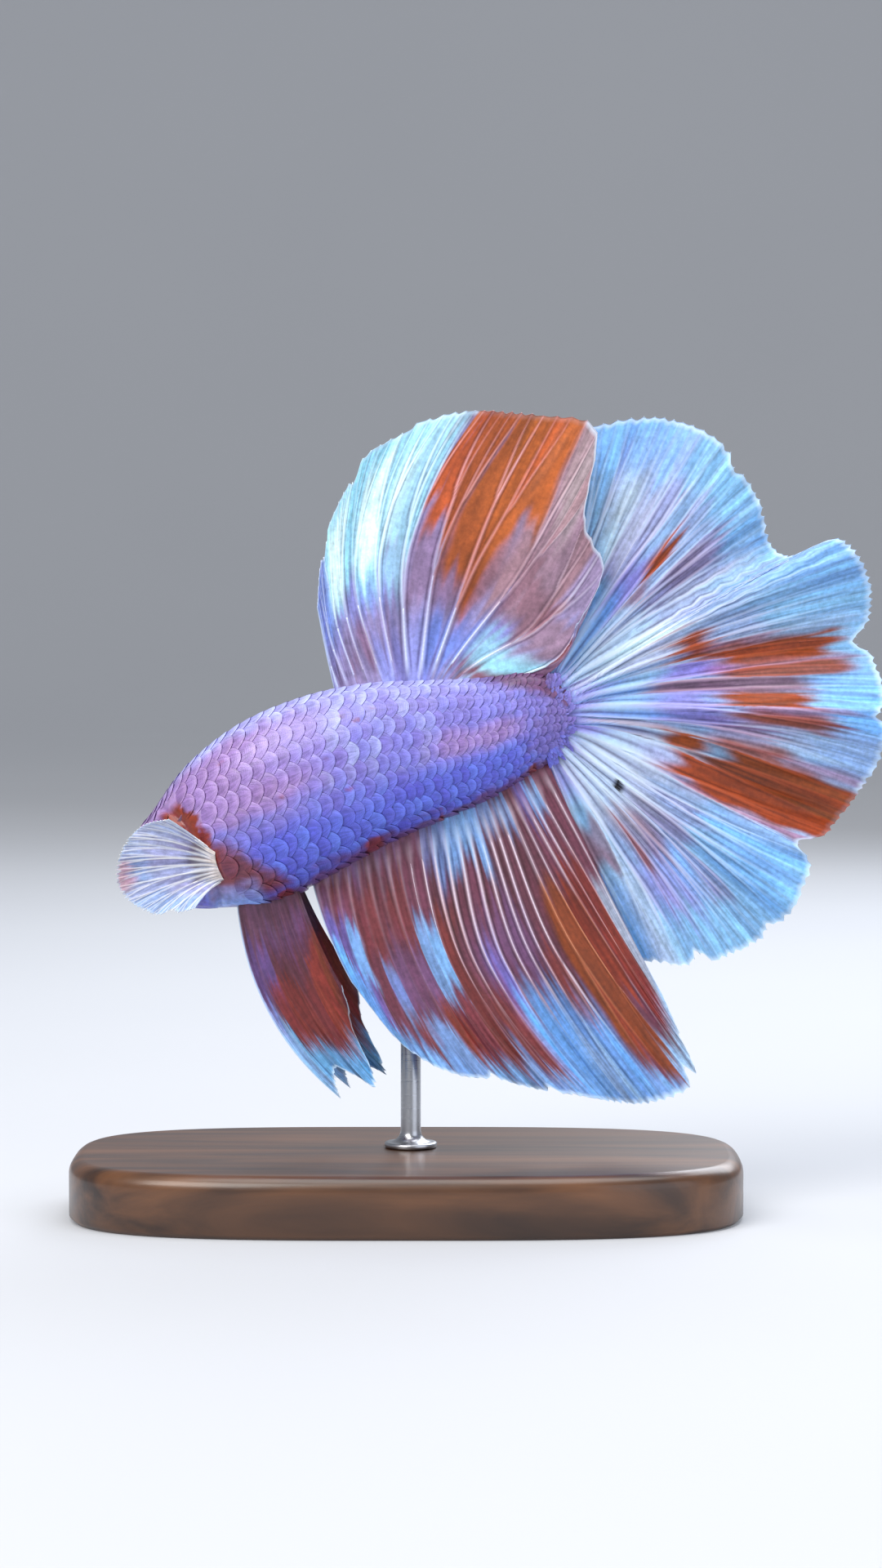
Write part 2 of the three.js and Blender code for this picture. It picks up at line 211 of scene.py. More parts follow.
def turned_piece(name, profile, centre, material, axes=np.eye(3), sides=48, tags=None):
    """A piece turned about the last of its three axes, from (radius, height) pairs."""
    turn = 2 * np.pi * np.arange(sides) / sides
    level, upright, axis = axes
    ring = np.cos(turn)[:, None] * level + np.sin(turn)[:, None] * upright
    rings = [centre + r * ring + h * axis for r, h in profile]
    middles = [centre + profile[end][1] * axis for end in (0, -1)]
    points = np.concatenate([*rings, middles])
    return make_piece(name, points, tube_faces(len(rings), sides), material, tags=tags)


# Bright drawn steel, finished with a fine emery cloth while it turned: faint rings 0.1 mm apart.
steel = new_material("turned_steel", Base_Color=linear("#b9bbc0"), Metallic=1.0)
place = add_node(steel, "TexCoord", {}, "Object")
rings_left = noise(steel, 9000.0, 2.0, add_node(steel, "Mapping", {0: place, "Scale": (0.02, 0.02, 1.0)}))
dress(steel, Roughness=ranged(steel, rings_left, 0.2, 0.4, (0.0, 1.0)))
dress(steel, Normal=bump(steel, rings_left, 0.1, 0.00005))

foot, wide = BASE["top"] + ROD["over_base"], ROD["foot_radius"]
profile = [(wide - 0.15, foot), (wide, foot + 0.15), (wide, foot + 0.45)]
profile.append((wide - 0.12, foot + ROD["foot_thick"]))
for a in np.radians(np.linspace(0, 90, 8)):
    rise = ROD["flare"] * (1 - np.cos(a))
    profile.append((ROD["radius"] + ROD["flare"] * (1 - np.sin(a)), foot + ROD["foot_thick"] + rise))
profile += [(ROD["radius"], ROD["top"] - ROD["point"]), (ROD["radius"] * 0.6, ROD["top"])]
rod = turned_piece("stand_rod_turned", profile, np.array([ROD["x"], ROD["y"], 0.0]), steel)
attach(rod, "root")
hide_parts("stand_rod")

# ---- The skin ----------------------------------------------------------------------------------------
# One skin over the whole body, snout to tail root: a deep, flattened trunk, a small head with an upturned
# mouth, thick lips, nostrils and a gill cover whose hind edge stands off the shoulder. The head is bent
# away from the straight. It is soft and wet, bare on the lips and chin, and carries the scales elsewhere.
# Snout to tail root at even steps: the back (x, z), the belly (x, z), half the width, the bend aside.
BODY = [
    (-22.8, -9.1, -23.0, -10.4, 0.9, 7.4),
    (-22.1, -6.1, -21.2, -11.9, 2.2, 5.1),
    (-20.1, -3.4, -18.2, -13.1, 3.6, 3.1),
    (-16.7, 1.3, -13.6, -13.2, 4.6, 1.5),
    (-11.6, 5.3, -8.0, -12.5, 5.1, 0.5),
    (-5.4, 7.9, -2.6, -9.7, 4.9, 0.1),
    (0.8, 9.2, 2.6, -6.8, 4.5, 0.0),
    (6.8, 9.5, 7.8, -4.5, 3.9, 0.1),
    (12.2, 9.7, 12.6, -2.4, 3.1, 0.3),
    (16.8, 10.3, 16.9, 0.2, 2.2, 0.7),
    (20.7, 8.7, 20.5, 2.7, 1.4, 1.1),
]
SECTION_FULLNESS = 0.88
END_ROUND = 0.03
COAT_DEPTH = 0.14  # how far the bare skin lies inside the body's full outline, for the scales
SKIN_COLUMNS = 256
SKIN_ROWS = np.concatenate(
    [np.linspace(*span) for span in ((0, 0.03, 14), (0.034, 0.345, 120), (0.35, 0.97, 130), (0.973, 1, 10))]
)


def smooth(low, high, x):
    """0 below low, 1 above high, and a soft change between; low may be the larger."""
    f = np.clip((np.asarray(x, float) - low) / (high - low), 0, 1)
    return f * f * (3 - 2 * f)


def bell(distance, width):
    """A soft rounded bump of the given width."""
    return np.exp(-((distance / width) ** 2))


def unit(vectors):
    """Vectors brought to length 1."""
    return vectors / np.maximum(np.linalg.norm(vectors, axis=-1, keepdims=True), 1e-9)


def through(keys, s):
    """A smooth curve through evenly spaced keys; s runs from 0 to 1."""
    keys = np.asarray(keys, float)
    x = np.clip(s, 0, 1) * (len(keys) - 1)
    i = np.minimum(np.floor(x).astype(int), len(keys) - 2)
    f = (x - i)[..., None]
    p, a, b, q = (keys[np.clip(i + k, 0, len(keys) - 1)] for k in (-1, 0, 1, 2))
    return a + 0.5 * f * (b - p + f * (2 * p - 5 * a + 4 * b - q + f * (3 * (a - b) + q - p)))


def midline(t):
    """The middle of the body at t."""
    s = through(BODY, t)
    return np.stack([(s[..., 0] + s[..., 2]) / 2, s[..., 5], (s[..., 1] + s[..., 3]) / 2], -1)


def section(t):
    """The body's section at t: centre, up, left, half-depth and half-width."""
    t = np.asarray(t, float)
    s = through(BODY, t)
    up = np.stack([s[..., 0] - s[..., 2], np.zeros_like(t), s[..., 1] - s[..., 3]], -1)
    from_end = np.clip(np.minimum(t, 1 - t) / END_ROUND, 0, 1)
    full = np.sqrt(1 - 0.97 * (1 - from_end) ** 2)
    half_depth = np.linalg.norm(up, axis=-1) / 2 * full
    up = unit(up)
    ahead = midline(np.minimum(t + 0.02, 1)) - midline(np.maximum(t - 0.02, 0))
    return midline(t), up, unit(np.cross(ahead, up)), half_depth, s[..., 4] * full


def body_point(t, angle, grow=0.0):
    """A point of the body's outline. The angle is from the back, in degrees, positive on the left."""
    centre, up, left, half_depth, half_width = section(t)
    c, s = np.cos(np.radians(angle)), np.sin(np.radians(angle))
    across = np.sign(s) * np.abs(s) ** SECTION_FULLNESS
    rise, aside = (half_depth + grow) * c, (half_width + grow) * across
    return centre + rise[..., None] * up + aside[..., None] * left


# Columns at even shares of the way round, so that scales keep an even height up the flank.
around_body = np.linspace(0, 360, 721)
outline = body_point(SKIN_ROWS[:, None] + 0 * around_body, around_body[None] + 0 * SKIN_ROWS[:, None])
way = np.linalg.norm(np.diff(outline, axis=1), axis=-1).cumsum(1)
way = np.concatenate([np.zeros((len(way), 1)), way], 1) / way[:, -1:]
shares = np.arange(SKIN_COLUMNS) / SKIN_COLUMNS
skin_angle = np.array([np.interp(shares, row, around_body) for row in way])
skin_t = np.repeat(SKIN_ROWS[:, None], SKIN_COLUMNS, 1)
skin_place = body_point(skin_t, skin_angle, -COAT_DEPTH)


def normals_of(grid):
    """Outward normals of the closed-round skin grid."""
    return unit(np.cross((np.roll(grid, -1, 1) - np.roll(grid, 1, 1)) / 2, np.gradient(grid, axis=0)))


side_angle = np.where(skin_angle > 180, 360 - skin_angle, skin_angle)  # 0 at the back, 180 at the belly

# The mouth's line runs from its right corner over the snout's tip to its left corner, between two lips
# with a fold behind them.
MOUTH = dict(to=0.095, tip_angle=78, corner_angle=118, lip_width=0.3, lip_height=0.2, cleft=0.34)
mouth_angle = lambda share: MOUTH["tip_angle"] + share * (MOUTH["corner_angle"] - MOUTH["tip_angle"])
from_mouth = np.full(skin_t.shape, 1e9)
for reach in np.linspace(-1, 1, 161):
    lip = body_point(abs(reach) * MOUTH["to"], np.sign(reach) * mouth_angle(abs(reach)), -COAT_DEPTH)
    from_mouth = np.minimum(from_mouth, np.linalg.norm(skin_place - lip, axis=-1))
in_front = 1 - smooth(MOUTH["to"], MOUTH["to"] + 0.03, skin_t)
jaw = smooth(-6, 6, side_angle - mouth_angle(skin_t / MOUTH["to"])) * in_front
relief = MOUTH["lip_height"] * bell(from_mouth - 0.4, MOUTH["lip_width"]) * in_front
relief -= MOUTH["cleft"] * bell(from_mouth, 0.1) * in_front
relief -= 0.07 * bell(from_mouth - 0.95, 0.16) * in_front

# The eye's place on the side of the head, and its socket.
EYE = dict(at=0.145, angle=74, radius=1.55, stands_out=0.55)
eye_axis, eye_centre = {}, {}
from_eye = np.full(skin_t.shape, 1e9)
for side in (1, -1):
    surface = body_point(EYE["at"], side * EYE["angle"])
    eye_axis[side] = unit(surface - midline(EYE["at"]))
    eye_centre[side] = surface - eye_axis[side] * (EYE["radius"] - EYE["stands_out"])
    offset = skin_place - eye_centre[side]
    height = offset @ eye_axis[side]
    aside = np.linalg.norm(offset - height[..., None] * eye_axis[side], axis=-1)
    from_eye = np.where(height > 0, np.minimum(from_eye, aside), from_eye)
relief += 0.16 * bell(from_eye - 1.72, 0.24) - 0.75 * (1 - smooth(1.1, 1.62, from_eye))

# Two nostrils a side, in front of the eye, each a pit in a low ring.
for at, angle, size in ((0.052, 46, 0.15), (0.085, 50, 0.12)):
    for side in (1, -1):
        away = np.linalg.norm(skin_place - body_point(at, side * angle, -COAT_DEPTH), axis=-1)
        relief += 0.09 * bell(away - size * 1.9, size * 0.8) - 0.3 * bell(away, size)


def gill_edge(angle):
    """How far back the gill cover's hind edge lies, at an angle from the back."""
    return np.interp(angle, [20, 45, 75, 105, 140, 170], [0.215, 0.245, 0.285, 0.303, 0.31, 0.3])


# The gill cover: its hind edge lifts off the shoulder and drops to a groove, and a second, softer line
# in front of it marks the cheek's edge.
beside = smooth(30, 52, side_angle) * (1 - smooth(158, 174, side_angle))
behind = skin_t - gill_edge(side_angle)
relief += 0.3 * beside * smooth(-0.10, -0.012, behind) * (1 - smooth(-0.001, 0.0035, behind))
relief -= 0.16 * beside * bell(behind - 0.007, 0.006)
cheek_edge = 0.2 + 0.035 * ((side_angle - 106) / 40) ** 2
on_cheek = smooth(56, 70, side_angle) * (1 - smooth(140, 156, side_angle))
relief -= 0.13 * bell(skin_t - cheek_edge, 0.0035) * on_cheek
relief += 0.06 * bell(skin_t - cheek_edge + 0.012, 0.01) * on_cheek
# Folds of the gill membrane under the throat.
under_throat = smooth(0.14, 0.2, skin_t) * (1 - smooth(0.28, 0.3, skin_t))
for fold in (150, 158, 166):
    relief -= 0.07 * bell(side_angle - fold + 40 * (0.3 - skin_t), 1.6) * under_throat

skin_place = skin_place + relief[..., None] * normals_of(skin_place)
forward = unit(midline(0.0) - midline(0.06))
skin_place = skin_place + (0.4 * jaw * bell(from_mouth, 1.1))[..., None] * forward
skin_normal = normals_of(skin_place)
if np.mean(np.sum(skin_normal * unit(skin_place - midline(skin_t)), -1)) < 0:
    skin_normal = -skin_normal


def streaks(across, along, counts, seed):
    """Soft random values from -1 to 1 over a surface, with so many cells across and along it."""
    table = np.random.default_rng(seed).uniform(-1, 1, (counts[0] + 2, counts[1] + 2))
    x = np.clip(across, 0, 1) * counts[0]
    y = np.clip(along, 0, 1) * counts[1]
    i, j = np.floor(x).astype(int), np.floor(y).astype(int)
    fx, fy = smooth(0, 1, x - i), smooth(0, 1, y - j)
    low = table[i, j] * (1 - fx) + table[i + 1, j] * fx
    high = table[i, j + 1] * (1 - fx) + table[i + 1, j + 1] * fx
    return low * (1 - fy) + high * fy


def body_tags(t, share):
    """The body's markings and a painted highlight along the top of the back, the same on the skin and on the
    scales: how much of each colour shows. share is the way round, 0 at the back and 0.5 at the belly."""
    side = 2 * np.where(share > 0.5, 1 - share, share)
    rough, broad = streaks(t, share, (46, 60), 11), streaks(t, share, (9, 12), 12)
    ragged, flecks = streaks(t, share, (150, 170), 14), streaks(t, share, (38, 46), 13)
    from_edge = t - gill_edge(side * 180)

    def between(x, low, high, soft):
        return smooth(low - soft, low + soft, x) * (1 - smooth(high - soft, high + soft, x))

    rosy = (1 - smooth(0.4, 0.66, t + 0.07 * broad)) * (1 - smooth(0.44, 0.56, side + 0.03 * rough))
    rosy = np.maximum(rosy, 0.8 * between(t, 0.7, 0.87, 0.04) * between(side + 0.02 * rough, 0.4, 0.56, 0.05))
    rosy = np.maximum(rosy, 1 - smooth(0.2, 0.3, t))
    blue = smooth(0.5, 0.7, side + 0.04 * broad + 0.02 * rough) * smooth(0.33, 0.42, t)
    blue = blue * (1 - 0.6 * smooth(0.84, 0.96, t + 0.03 * rough))
    throat = smooth(0.66, 0.92, side + 0.05 * rough) * (1 - smooth(0.3, 0.34, t))
    blue = np.maximum(blue, 0.6 * throat * smooth(0.08, 0.24, t + 0.04 * rough))
    # A painted highlight: the top of the back is made paler, from behind the head to near the tail.
    painted_back_highlight = (1 - smooth(0.05, 0.2, side + 0.03 * rough)) * smooth(0.2, 0.34, t) * (1 - smooth(0.74, 0.82, t))
    silver = between(t + 0.03 * broad, 0.54, 0.7, 0.05) * between(side, 0.14, 0.54, 0.05)
    breast = between(t, 0.3, 0.385, 0.012) * between(side + 0.03 * rough, 0.78, 0.94, 0.03)
    # Behind the gill cover runs a band that is orange above and wine-coloured below.
    behind = from_edge + 0.007 * rough + 0.006 * ragged
    in_band = smooth(-0.012, 0.0, from_edge)
    orange = in_band * (1 - smooth(0.028, 0.038, behind)) * between(side, 0.27, 0.66, 0.04)
    lower = behind - 0.3 * np.clip(side - 0.6, 0, 0.25)
    wine = in_band * (1 - smooth(0.035, 0.07, lower)) * between(side, 0.56, 0.86, 0.04)
    orange = np.maximum(orange, (0.42 + 0.12 * rough) * wine)
    # Wine colour edges the belly and clouds the tail's root, and small orange spots and flecks are strewn.
    wine = np.maximum(wine, 0.8 * smooth(0.82, 0.92, side + 0.05 * rough) * smooth(0.3, 0.4, t))
    stem = 1 - smooth(0.0, 0.1, side - 1.3 * (t - 0.76) + 0.03 * rough)
    stem = stem * smooth(0.76, 0.84, t + 0.03 * rough)
    wine = np.maximum(wine, np.maximum(0.9 * stem, 0.3 * smooth(0.86, 0.95, t + 0.03 * rough)))
    for at, wide in ((0.42, 0.016), (0.58, 0.02), (0.705, 0.008), (0.9, 0.012)):
        spot = bell(t - at, wide) * smooth(0.78, 0.92, side + 0.05 * rough)
        orange = np.maximum(orange, 0.8 * smooth(0.35, 0.7, spot))
    flecks = smooth(0.8, 0.95, flecks) * between(t, 0.34, 0.62, 0.03) * between(side, 0.2, 0.6, 0.05)
    orange = np.maximum(orange, 0.6 * flecks)
    return dict(rosy=rosy, blue=blue, painted_back_highlight=painted_back_highlight, silver=silver, wine=wine, breast=breast, orange=orange)


def tag(material, name):
    """A named number at the mesh's points."""
    return add_node(material, "Attribute", {}, "Fac", attribute_name=name)


def laid_over(material, amount, under, over, blend_type="MIX"):
    """One colour laid over another."""
    links = {0: amount, 6: under, 7: over}
    return add_node(material, "Mix", links, 2, data_type="RGBA", blend_type=blend_type)


def painted(material, ground, layers):
    """A ground colour with one colour laid over it for each named tag."""
    colour = linear(ground)
    for name, hex_colour in layers:
        colour = laid_over(material, tag(material, name), colour, linear(hex_colour))
    return colour


def toned(material, colour, value, hue=0.5):
    """A colour made lighter or darker by a value, and turned by a hue around 0.5."""
    return add_node(material, "HueSaturation", {"Hue": hue, "Value": value, "Color": colour})


BODY_GROUND = "#827ecc"
# The pale layer along the top of the back is a painted highlight.
BODY_LAYERS = [("rosy", "#a185ba"), ("painted_back_highlight", "#aeb6ee"), ("blue", "#5f6cd6"), ("silver", "#b0bce6")]
BODY_LAYERS += [("wine", "#6c4058"), ("breast", "#93b4ff"), ("orange", "#86341f")]
# The face's dark layers are painted shade: one in the grooves of the cheek, eye socket and gill cover, one in
# the mouth's groove.
FACE_LAYERS = [("painted_crease_shade", "#64467a"), ("lips", "#c08fa6"), ("cleft", "#4a2236")]

# Bare fish skin: soft and wet under a thin clear slime, so a satin coat; the freckles are 0.3 mm across.
wet_skin = new_material(
    "wet_bare_skin", Roughness=0.42, IOR=1.38, Coat_Weight=0.4, Coat_Roughness=0.15, Subsurface_Weight=0.12
)
colour = painted(wet_skin, BODY_GROUND, BODY_LAYERS + FACE_LAYERS)
freckles = ranged(wet_skin, noise(wet_skin, 1800.0, 3.0), 0.78, 1.22)
dress(wet_skin, Base_Color=toned(wet_skin, colour, freckles), Subsurface_Radius=(0.0012, 0.0005, 0.0004))
dress(wet_skin, Normal=bump(wet_skin, noise(wet_skin, 4200.0), 0.35, 0.00006))

rows, columns = skin_t.shape
tags = body_tags(skin_t, np.repeat(shares[None], rows, 0))
tags["lips"] = bell(from_mouth - 0.3, 0.34) * in_front * (1 - smooth(0.05, 0.1, skin_t))
# Painted shade: the groove between the lips is darkened.
tags["cleft"] = bell(from_mouth, 0.1) * in_front * (1 - smooth(0.06, 0.1, skin_t))
# Painted shade in the grooves: darker along the cheek's edge, round the eye's socket and behind the gill
# cover's hind edge.
painted_crease_shade = np.maximum(0.6 * on_cheek * bell(skin_t - cheek_edge, 0.003), 0.5 * bell(from_eye - 1.62, 0.12))
painted_crease_shade = np.maximum(0.8 * beside * bell(behind - 0.006, 0.004), painted_crease_shade)
tags["painted_crease_shade"] = painted_crease_shade * (1 - 0.8 * np.maximum(tags["orange"], tags["breast"]))
tags = {key: np.append(value.ravel(), value.ravel()[[0, -1]]) for key, value in tags.items()}
ends = [skin_place[0].mean(0) + 0.02 * forward, skin_place[-1].mean(0)]
points = np.concatenate([skin_place.reshape(-1, 3), ends])


def unwrapped(row, column):
    """The skin's own unwrap: snout to tail across, from the back round to the back upwards."""
    return np.stack([0.01 + 0.98 * SKIN_ROWS[row] + 0 * column, 0.01 + 0.98 * column / columns], -1)


row, column = np.meshgrid(np.arange(rows - 1), np.arange(columns), indexing="ij")
corners = ((row + 1, column), (row + 1, column + 1), (row, column + 1), (row, column))
uv = [np.stack([unwrapped(*corner) for corner in corners], 2).reshape(-1, 2)]
for end, steps in ((0, (0.5, 0, 1)), (-1, (0.5, 1, 0))):
    uv.append(np.stack([unwrapped(end, column[0] + step) for step in steps], 1).reshape(-1, 2))
faces = tube_faces(rows, columns, turned=True)
skin = make_piece("body_skin", points, faces, wet_skin, np.concatenate(uv), tags)
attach(skin, "root")
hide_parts("head", "lower_jaw", "gill_cover_left", "gill_cover_right", "trunk", "tail_stem")

# ---- The scales --------------------------------------------------------------------------------------
# Thin bony plates, each rooted in the skin at its front edge and lying backwards over the next ones like
# roof tiles. They start behind the eye, miss the smooth band behind the gill cover, and end at the tail's
# root, smaller and smaller. Those of the head and of the flank are joined into a coat on either side.
SCALE = dict(rows=11, pitch=0.58, length=2.1, width=0.76, round_from=0.38, sunk=-0.06, proud=0.13, thick=0.09)
SCALE_ALONG = np.array([0, 0.18, 0.34, 0.48, 0.6, 0.7, 0.79, 0.87, 0.93, 0.97, 1.0])
SCALE_ACROSS = np.sin(np.linspace(-np.pi / 2, np.pi / 2, 13))
HEAD_TO = 0.33  # where the head's coat ends and the flank's starts


def skin_at(t, share):
    """The skin's place and outward normal at t and at a share of the way round."""
    r = np.clip(np.interp(t, SKIN_ROWS, np.arange(rows)), 0, rows - 1.001)
    c = (np.asarray(share) % 1.0) * columns
    i, j = np.floor(r).astype(int), np.floor(c).astype(int) % columns
    fr, fc, k = (r - i)[..., None], (c - np.floor(c))[..., None], (j + 1) % columns

    def between(grid):
        near = grid[i, j] * (1 - fc) + grid[i, k] * fc
        return near * (1 - fr) + (grid[i + 1, j] * (1 - fc) + grid[i + 1, k] * fc) * fr

    return between(skin_place), unit(between(skin_normal))


# Along the body the scales' spacing follows the height of a row, which shrinks as the body narrows.
body_t = np.linspace(0, 1, 401)
outline = body_point(body_t[:, None] + 0 * around_body, around_body[None] + 0 * body_t[:, None])
row_height = np.linalg.norm(np.diff(outline, axis=1), axis=-1).sum(1) / 2 / SCALE["rows"]
body_way = np.concatenate([[0], np.linalg.norm(np.diff(midline(body_t), axis=0), axis=-1).cumsum()])
scale_count = np.concatenate([[0], np.cumsum(np.diff(body_way) / (SCALE["pitch"] * row_height[1:]))])

rng = np.random.default_rng(5)
roots = []
for row in range(-SCALE["rows"], SCALE["rows"]):
    first = 0.6 * (row if row >= 0 else -row - 1) % 1
    t = np.interp(np.arange(first, scale_count[-1] - 0.4, 1.0), scale_count, body_t)
    roots.append(np.stack([t, np.full(len(t), (row + 0.5) / SCALE["rows"] / 2)], -1))
root_t, root_share = np.concatenate(roots).T.copy()
count = len(root_t)
untidy = np.maximum(smooth(0.6, 0.95, root_t), smooth(0.55, 0.85, 2 * np.abs(root_share)))
root_t += rng.uniform(-0.0009, 0.0009, count) * (1 + 3 * untidy)
root_share += rng.uniform(-0.002, 0.002, count) * untidy
root_side = 2 * np.abs(root_share)
past_edge = root_t - gill_edge(root_side * 180)
bare = (past_edge > -0.03) & (past_edge < 0.005 + 0.012 * rng.random(count)) & (root_side > 0.16)
root_place, _ = skin_at(root_t, root_share)
for side in (1, -1):
    bare |= np.linalg.norm(root_place - eye_centre[side], axis=-1) < 3.0
bare |= root_t < 0.125 + 0.03 * root_side + 0.06 * smooth(0.55, 0.8, root_side)
bare |= ((root_side > 0.8) & (root_t < HEAD_TO)) | (root_t > 0.985)
root_t, root_share, untidy = root_t[~bare], root_share[~bare], untidy[~bare]

count = len(root_t)
long_t = SCALE["length"] * SCALE["pitch"] * np.interp(root_t, body_t, row_height)
long_t = long_t / np.interp(root_t, body_t, np.gradient(body_way, body_t))
wide_share = SCALE["width"] / SCALE["rows"] / 2
size = rng.uniform(0.96, 1.05, count)[:, None]
twist = (rng.normal(0, 0.025, count) * (1 + 4 * untidy))[:, None]
lifted = (1 + 1.1 * untidy * rng.random(count))[:, None]

# One scale's outline: a rounded shield, narrower where it is buried, widest past the middle.
past_middle = np.maximum(SCALE_ALONG - SCALE["round_from"], 0) / (1 - SCALE["round_from"])
outline_width = np.clip(1 - past_middle**1.8, 0, 1) ** 0.62
outline_width = outline_width * (0.8 + 0.2 * smooth(0, SCALE["round_from"], SCALE_ALONG))
past_middle, from_middle = past_middle[:, None], np.abs(SCALE_ACROSS)[None]
a = np.repeat(SCALE_ALONG[:, None], len(SCALE_ACROSS), 1)
c = SCALE_ACROSS[None] * np.maximum(outline_width, 0.06)[:, None]
rim = np.where(past_middle > 0, np.maximum(past_middle**1.2, from_middle**1.5), from_middle**1.5)
rise = SCALE["sunk"] + (SCALE["proud"] - SCALE["sunk"]) * a**1.2
rise += 0.05 * (1 - rim**2) * a - 0.05 * from_middle**2 * (1 - a)
one = np.arange(a.size).reshape(a.shape)
around = np.concatenate([one[0, :-1], one[:-1, -1], one[-1, :0:-1], one[:0:-1, 0]])
under = a.size + np.arange(len(around))
skirt = np.stack([around, np.roll(around, -1), np.roll(under, -1), under], -1)
scale_faces = (quads_of(*a.shape), skirt, fan_of(under, a.size + len(around)))


def scale_coat(name, place, out, height, tags, own, patch):
    """Many scales joined into one coat, from each one's points on the skin, their normals and their
    heights over it. own is each scale's random tone, patch the place of its root on the unwrap."""
    fill = lambda grid: np.concatenate([grid, grid[:, around], grid[:, :1]], 1)
    same = lambda grid: fill(np.repeat(grid.ravel()[None], len(place), 0))
    top = place + out * height[..., None]
    low = (place + out * (height[..., None] - SCALE["thick"]))[:, around]
    points = np.concatenate([top, low, low.mean(1, keepdims=True)], 1)
    first = (np.arange(len(place)) * points.shape[1])[:, None, None]
    faces = [(first + f[None]).reshape(-1, f.shape[1]) for f in scale_faces]
    tags = {key: fill(value) for key, value in tags.items()}
    tags.update(rim=same(rim), own_tone=same(0 * a) + own)
    tags["fan"] = same(9 * SCALE_ACROSS[None] + 0 * a) + 40 * own
    # Each scale's unwrap is a patch 0.003 across at its root's place, for baking.
    across, up = 0.003 * (same(a) - 0.5), 0.0015 * same(c / np.abs(c).max())
    uv = np.stack([patch[0][:, None] + across, patch[1][:, None] + up], -1)
    return make_piece(name, points, faces, scaly, uv, tags)


def multiplied(material, *values):
    """Numbers multiplied together."""
    product = values[0]
    for value in values[1:]:
        product = add_node(material, "Math", {0: product, 1: value}, operation="MULTIPLY")
    return product


def waves(material, value, times):
    """A sine wave over a value, for rings and joints."""
    return add_node(material, "Math", {0: multiplied(material, value, times)}, operation="SINE")


def combined(material, x, y, z=0.0):
    """Three numbers as a place in a pattern's own space."""
    return add_node(material, "CombineXYZ", {0: x, 1: y, 2: z})


# Live scales: clear, glossy horn over a layer of blue and violet reflecting cells, with growth rings
# 0.08 mm apart, drawn coarser here at 0.16 mm. The rear edge shows as a dark line, partly its own pigment
# and partly painted shadow of the gap under it, with a pale band inside it as a painted highlight; the
# middle and root of each scale are painted a little darker, as shade where the scale ahead overlaps it.
scaly = new_material("iridescent_scales", Roughness=0.36, IOR=1.45, Coat_Weight=0.35, Coat_Roughness=0.22)
own, edge = tag(scaly, "own_tone"), tag(scaly, "rim")
value = multiplied(
    scaly,
    ranged(scaly, own, 0.9, 1.12, (0.0, 1.0)),
    ranged(scaly, noise(scaly, 1500.0, 4.0, Roughness=0.6), 0.8, 1.2),
    ranged(scaly, noise(scaly, 1.0, 3.0, combined(scaly, tag(scaly, "fan"), own, edge)), 0.8, 1.25),
)
hue = ranged(scaly, own, 0.508, 0.492, (0.0, 1.0))
colour = toned(scaly, painted(scaly, BODY_GROUND, BODY_LAYERS), value, hue)
# Painted light on every scale: its middle and root a little darker as shade, a pale band near the rear edge
# as a highlight, and a dark rear edge that is partly pigment, partly shadow.
rim_pigment_and_painted_light = ((0.0, "#d8d0e4"), (0.5, "#e8e2f0"), (0.8, "#ffffff"), (0.93, "#ffffff"), (0.97, "#b697be"))
rim_pigment_and_painted_light = ramp(scaly, edge, *rim_pigment_and_painted_light, (1.0, "#8a6a98"))
rings = waves(scaly, edge, 52.0)
dress(scaly, Base_Color=laid_over(scaly, 1.0, colour, rim_pigment_and_painted_light, "MULTIPLY"), Specular_Tint=linear("#c9d4ff"))
dress(scaly, Normal=bump(scaly, rings, 0.3, 0.00002))

own_tone, pale_scale = rng.random(count)[:, None], 0.58 * smooth(0.35, 0.8, rng.random(count))[:, None]
t = root_t[:, None] + long_t[:, None] * size * (a.ravel() + twist * c.ravel())
share = root_share[:, None] + wide_share * size * (c.ravel() - twist * (a.ravel() - 0.5))
height = np.where(rise.ravel() > 0, lifted * rise.ravel(), rise.ravel())
patch = np.stack([0.01 + 0.98 * root_t, 0.01 + 0.98 * (root_share % 1.0)])
for part, slot, in_front in (("head", "skin_head", True), ("flank", "skin_body", False)):
    for hand, side in (("left", 1), ("right", -1)):
        these = ((root_t < HEAD_TO) == in_front) & (root_share * side > 0)
        place, out = skin_at(np.clip(t[these], 0, 0.9999), share[these])
        tags = body_tags(t[these], share[these] % 1.0)
        tags["silver"] = tags["silver"] * pale_scale[these]
        name = f"{part}_scales_{hand}"
        coat = scale_coat(name, place, out, height[these], tags, own_tone[these], patch[:, these])
        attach(coat, "root")

# ---- The eyes ----------------------------------------------------------------------------------------
# Each eye is a ball set in its socket: a black pupil two fifths as wide as the ball, a metallic
# blue and gold iris that slopes in to it, a dark outer ring, and a clear domed cornea over all.
# Iris: fine radial fibres with a metal sheen from its reflecting cells, gold at the pupil's edge.
iris = new_material("eye_iris", Roughness=0.3, Coat_Weight=1.0, Coat_Roughness=0.05)
from_pupil = tag(iris, "spread")
fibres = noise(iris, 14.0, 4.0, combined(iris, tag(iris, "turn"), from_pupil))
rings = ((0.0, "#020203"), (0.41, "#030304"), (0.45, "#b98d48"), (0.5, "#5f74a6"), (0.66, "#3a4a80"))
rings = ramp(iris, from_pupil, *rings, (0.82, "#1d1e34"), (1.0, "#100e18"))
dress(iris, Base_Color=toned(iris, rings, ranged(iris, fibres, 0.6, 1.35)))
# Cornea: clear wet tissue; only its gloss shows.
cornea_clear = new_material("clear_cornea", Roughness=0.03, IOR=1.376, Alpha=0.12)
dress(cornea_clear, Base_Color=linear("#0a0c12"))
film = add_node(cornea_clear, "TexNoise", {"Scale": 900.0})
dress(cornea_clear, Normal=bump(cornea_clear, film, 0.02, 0.00002))

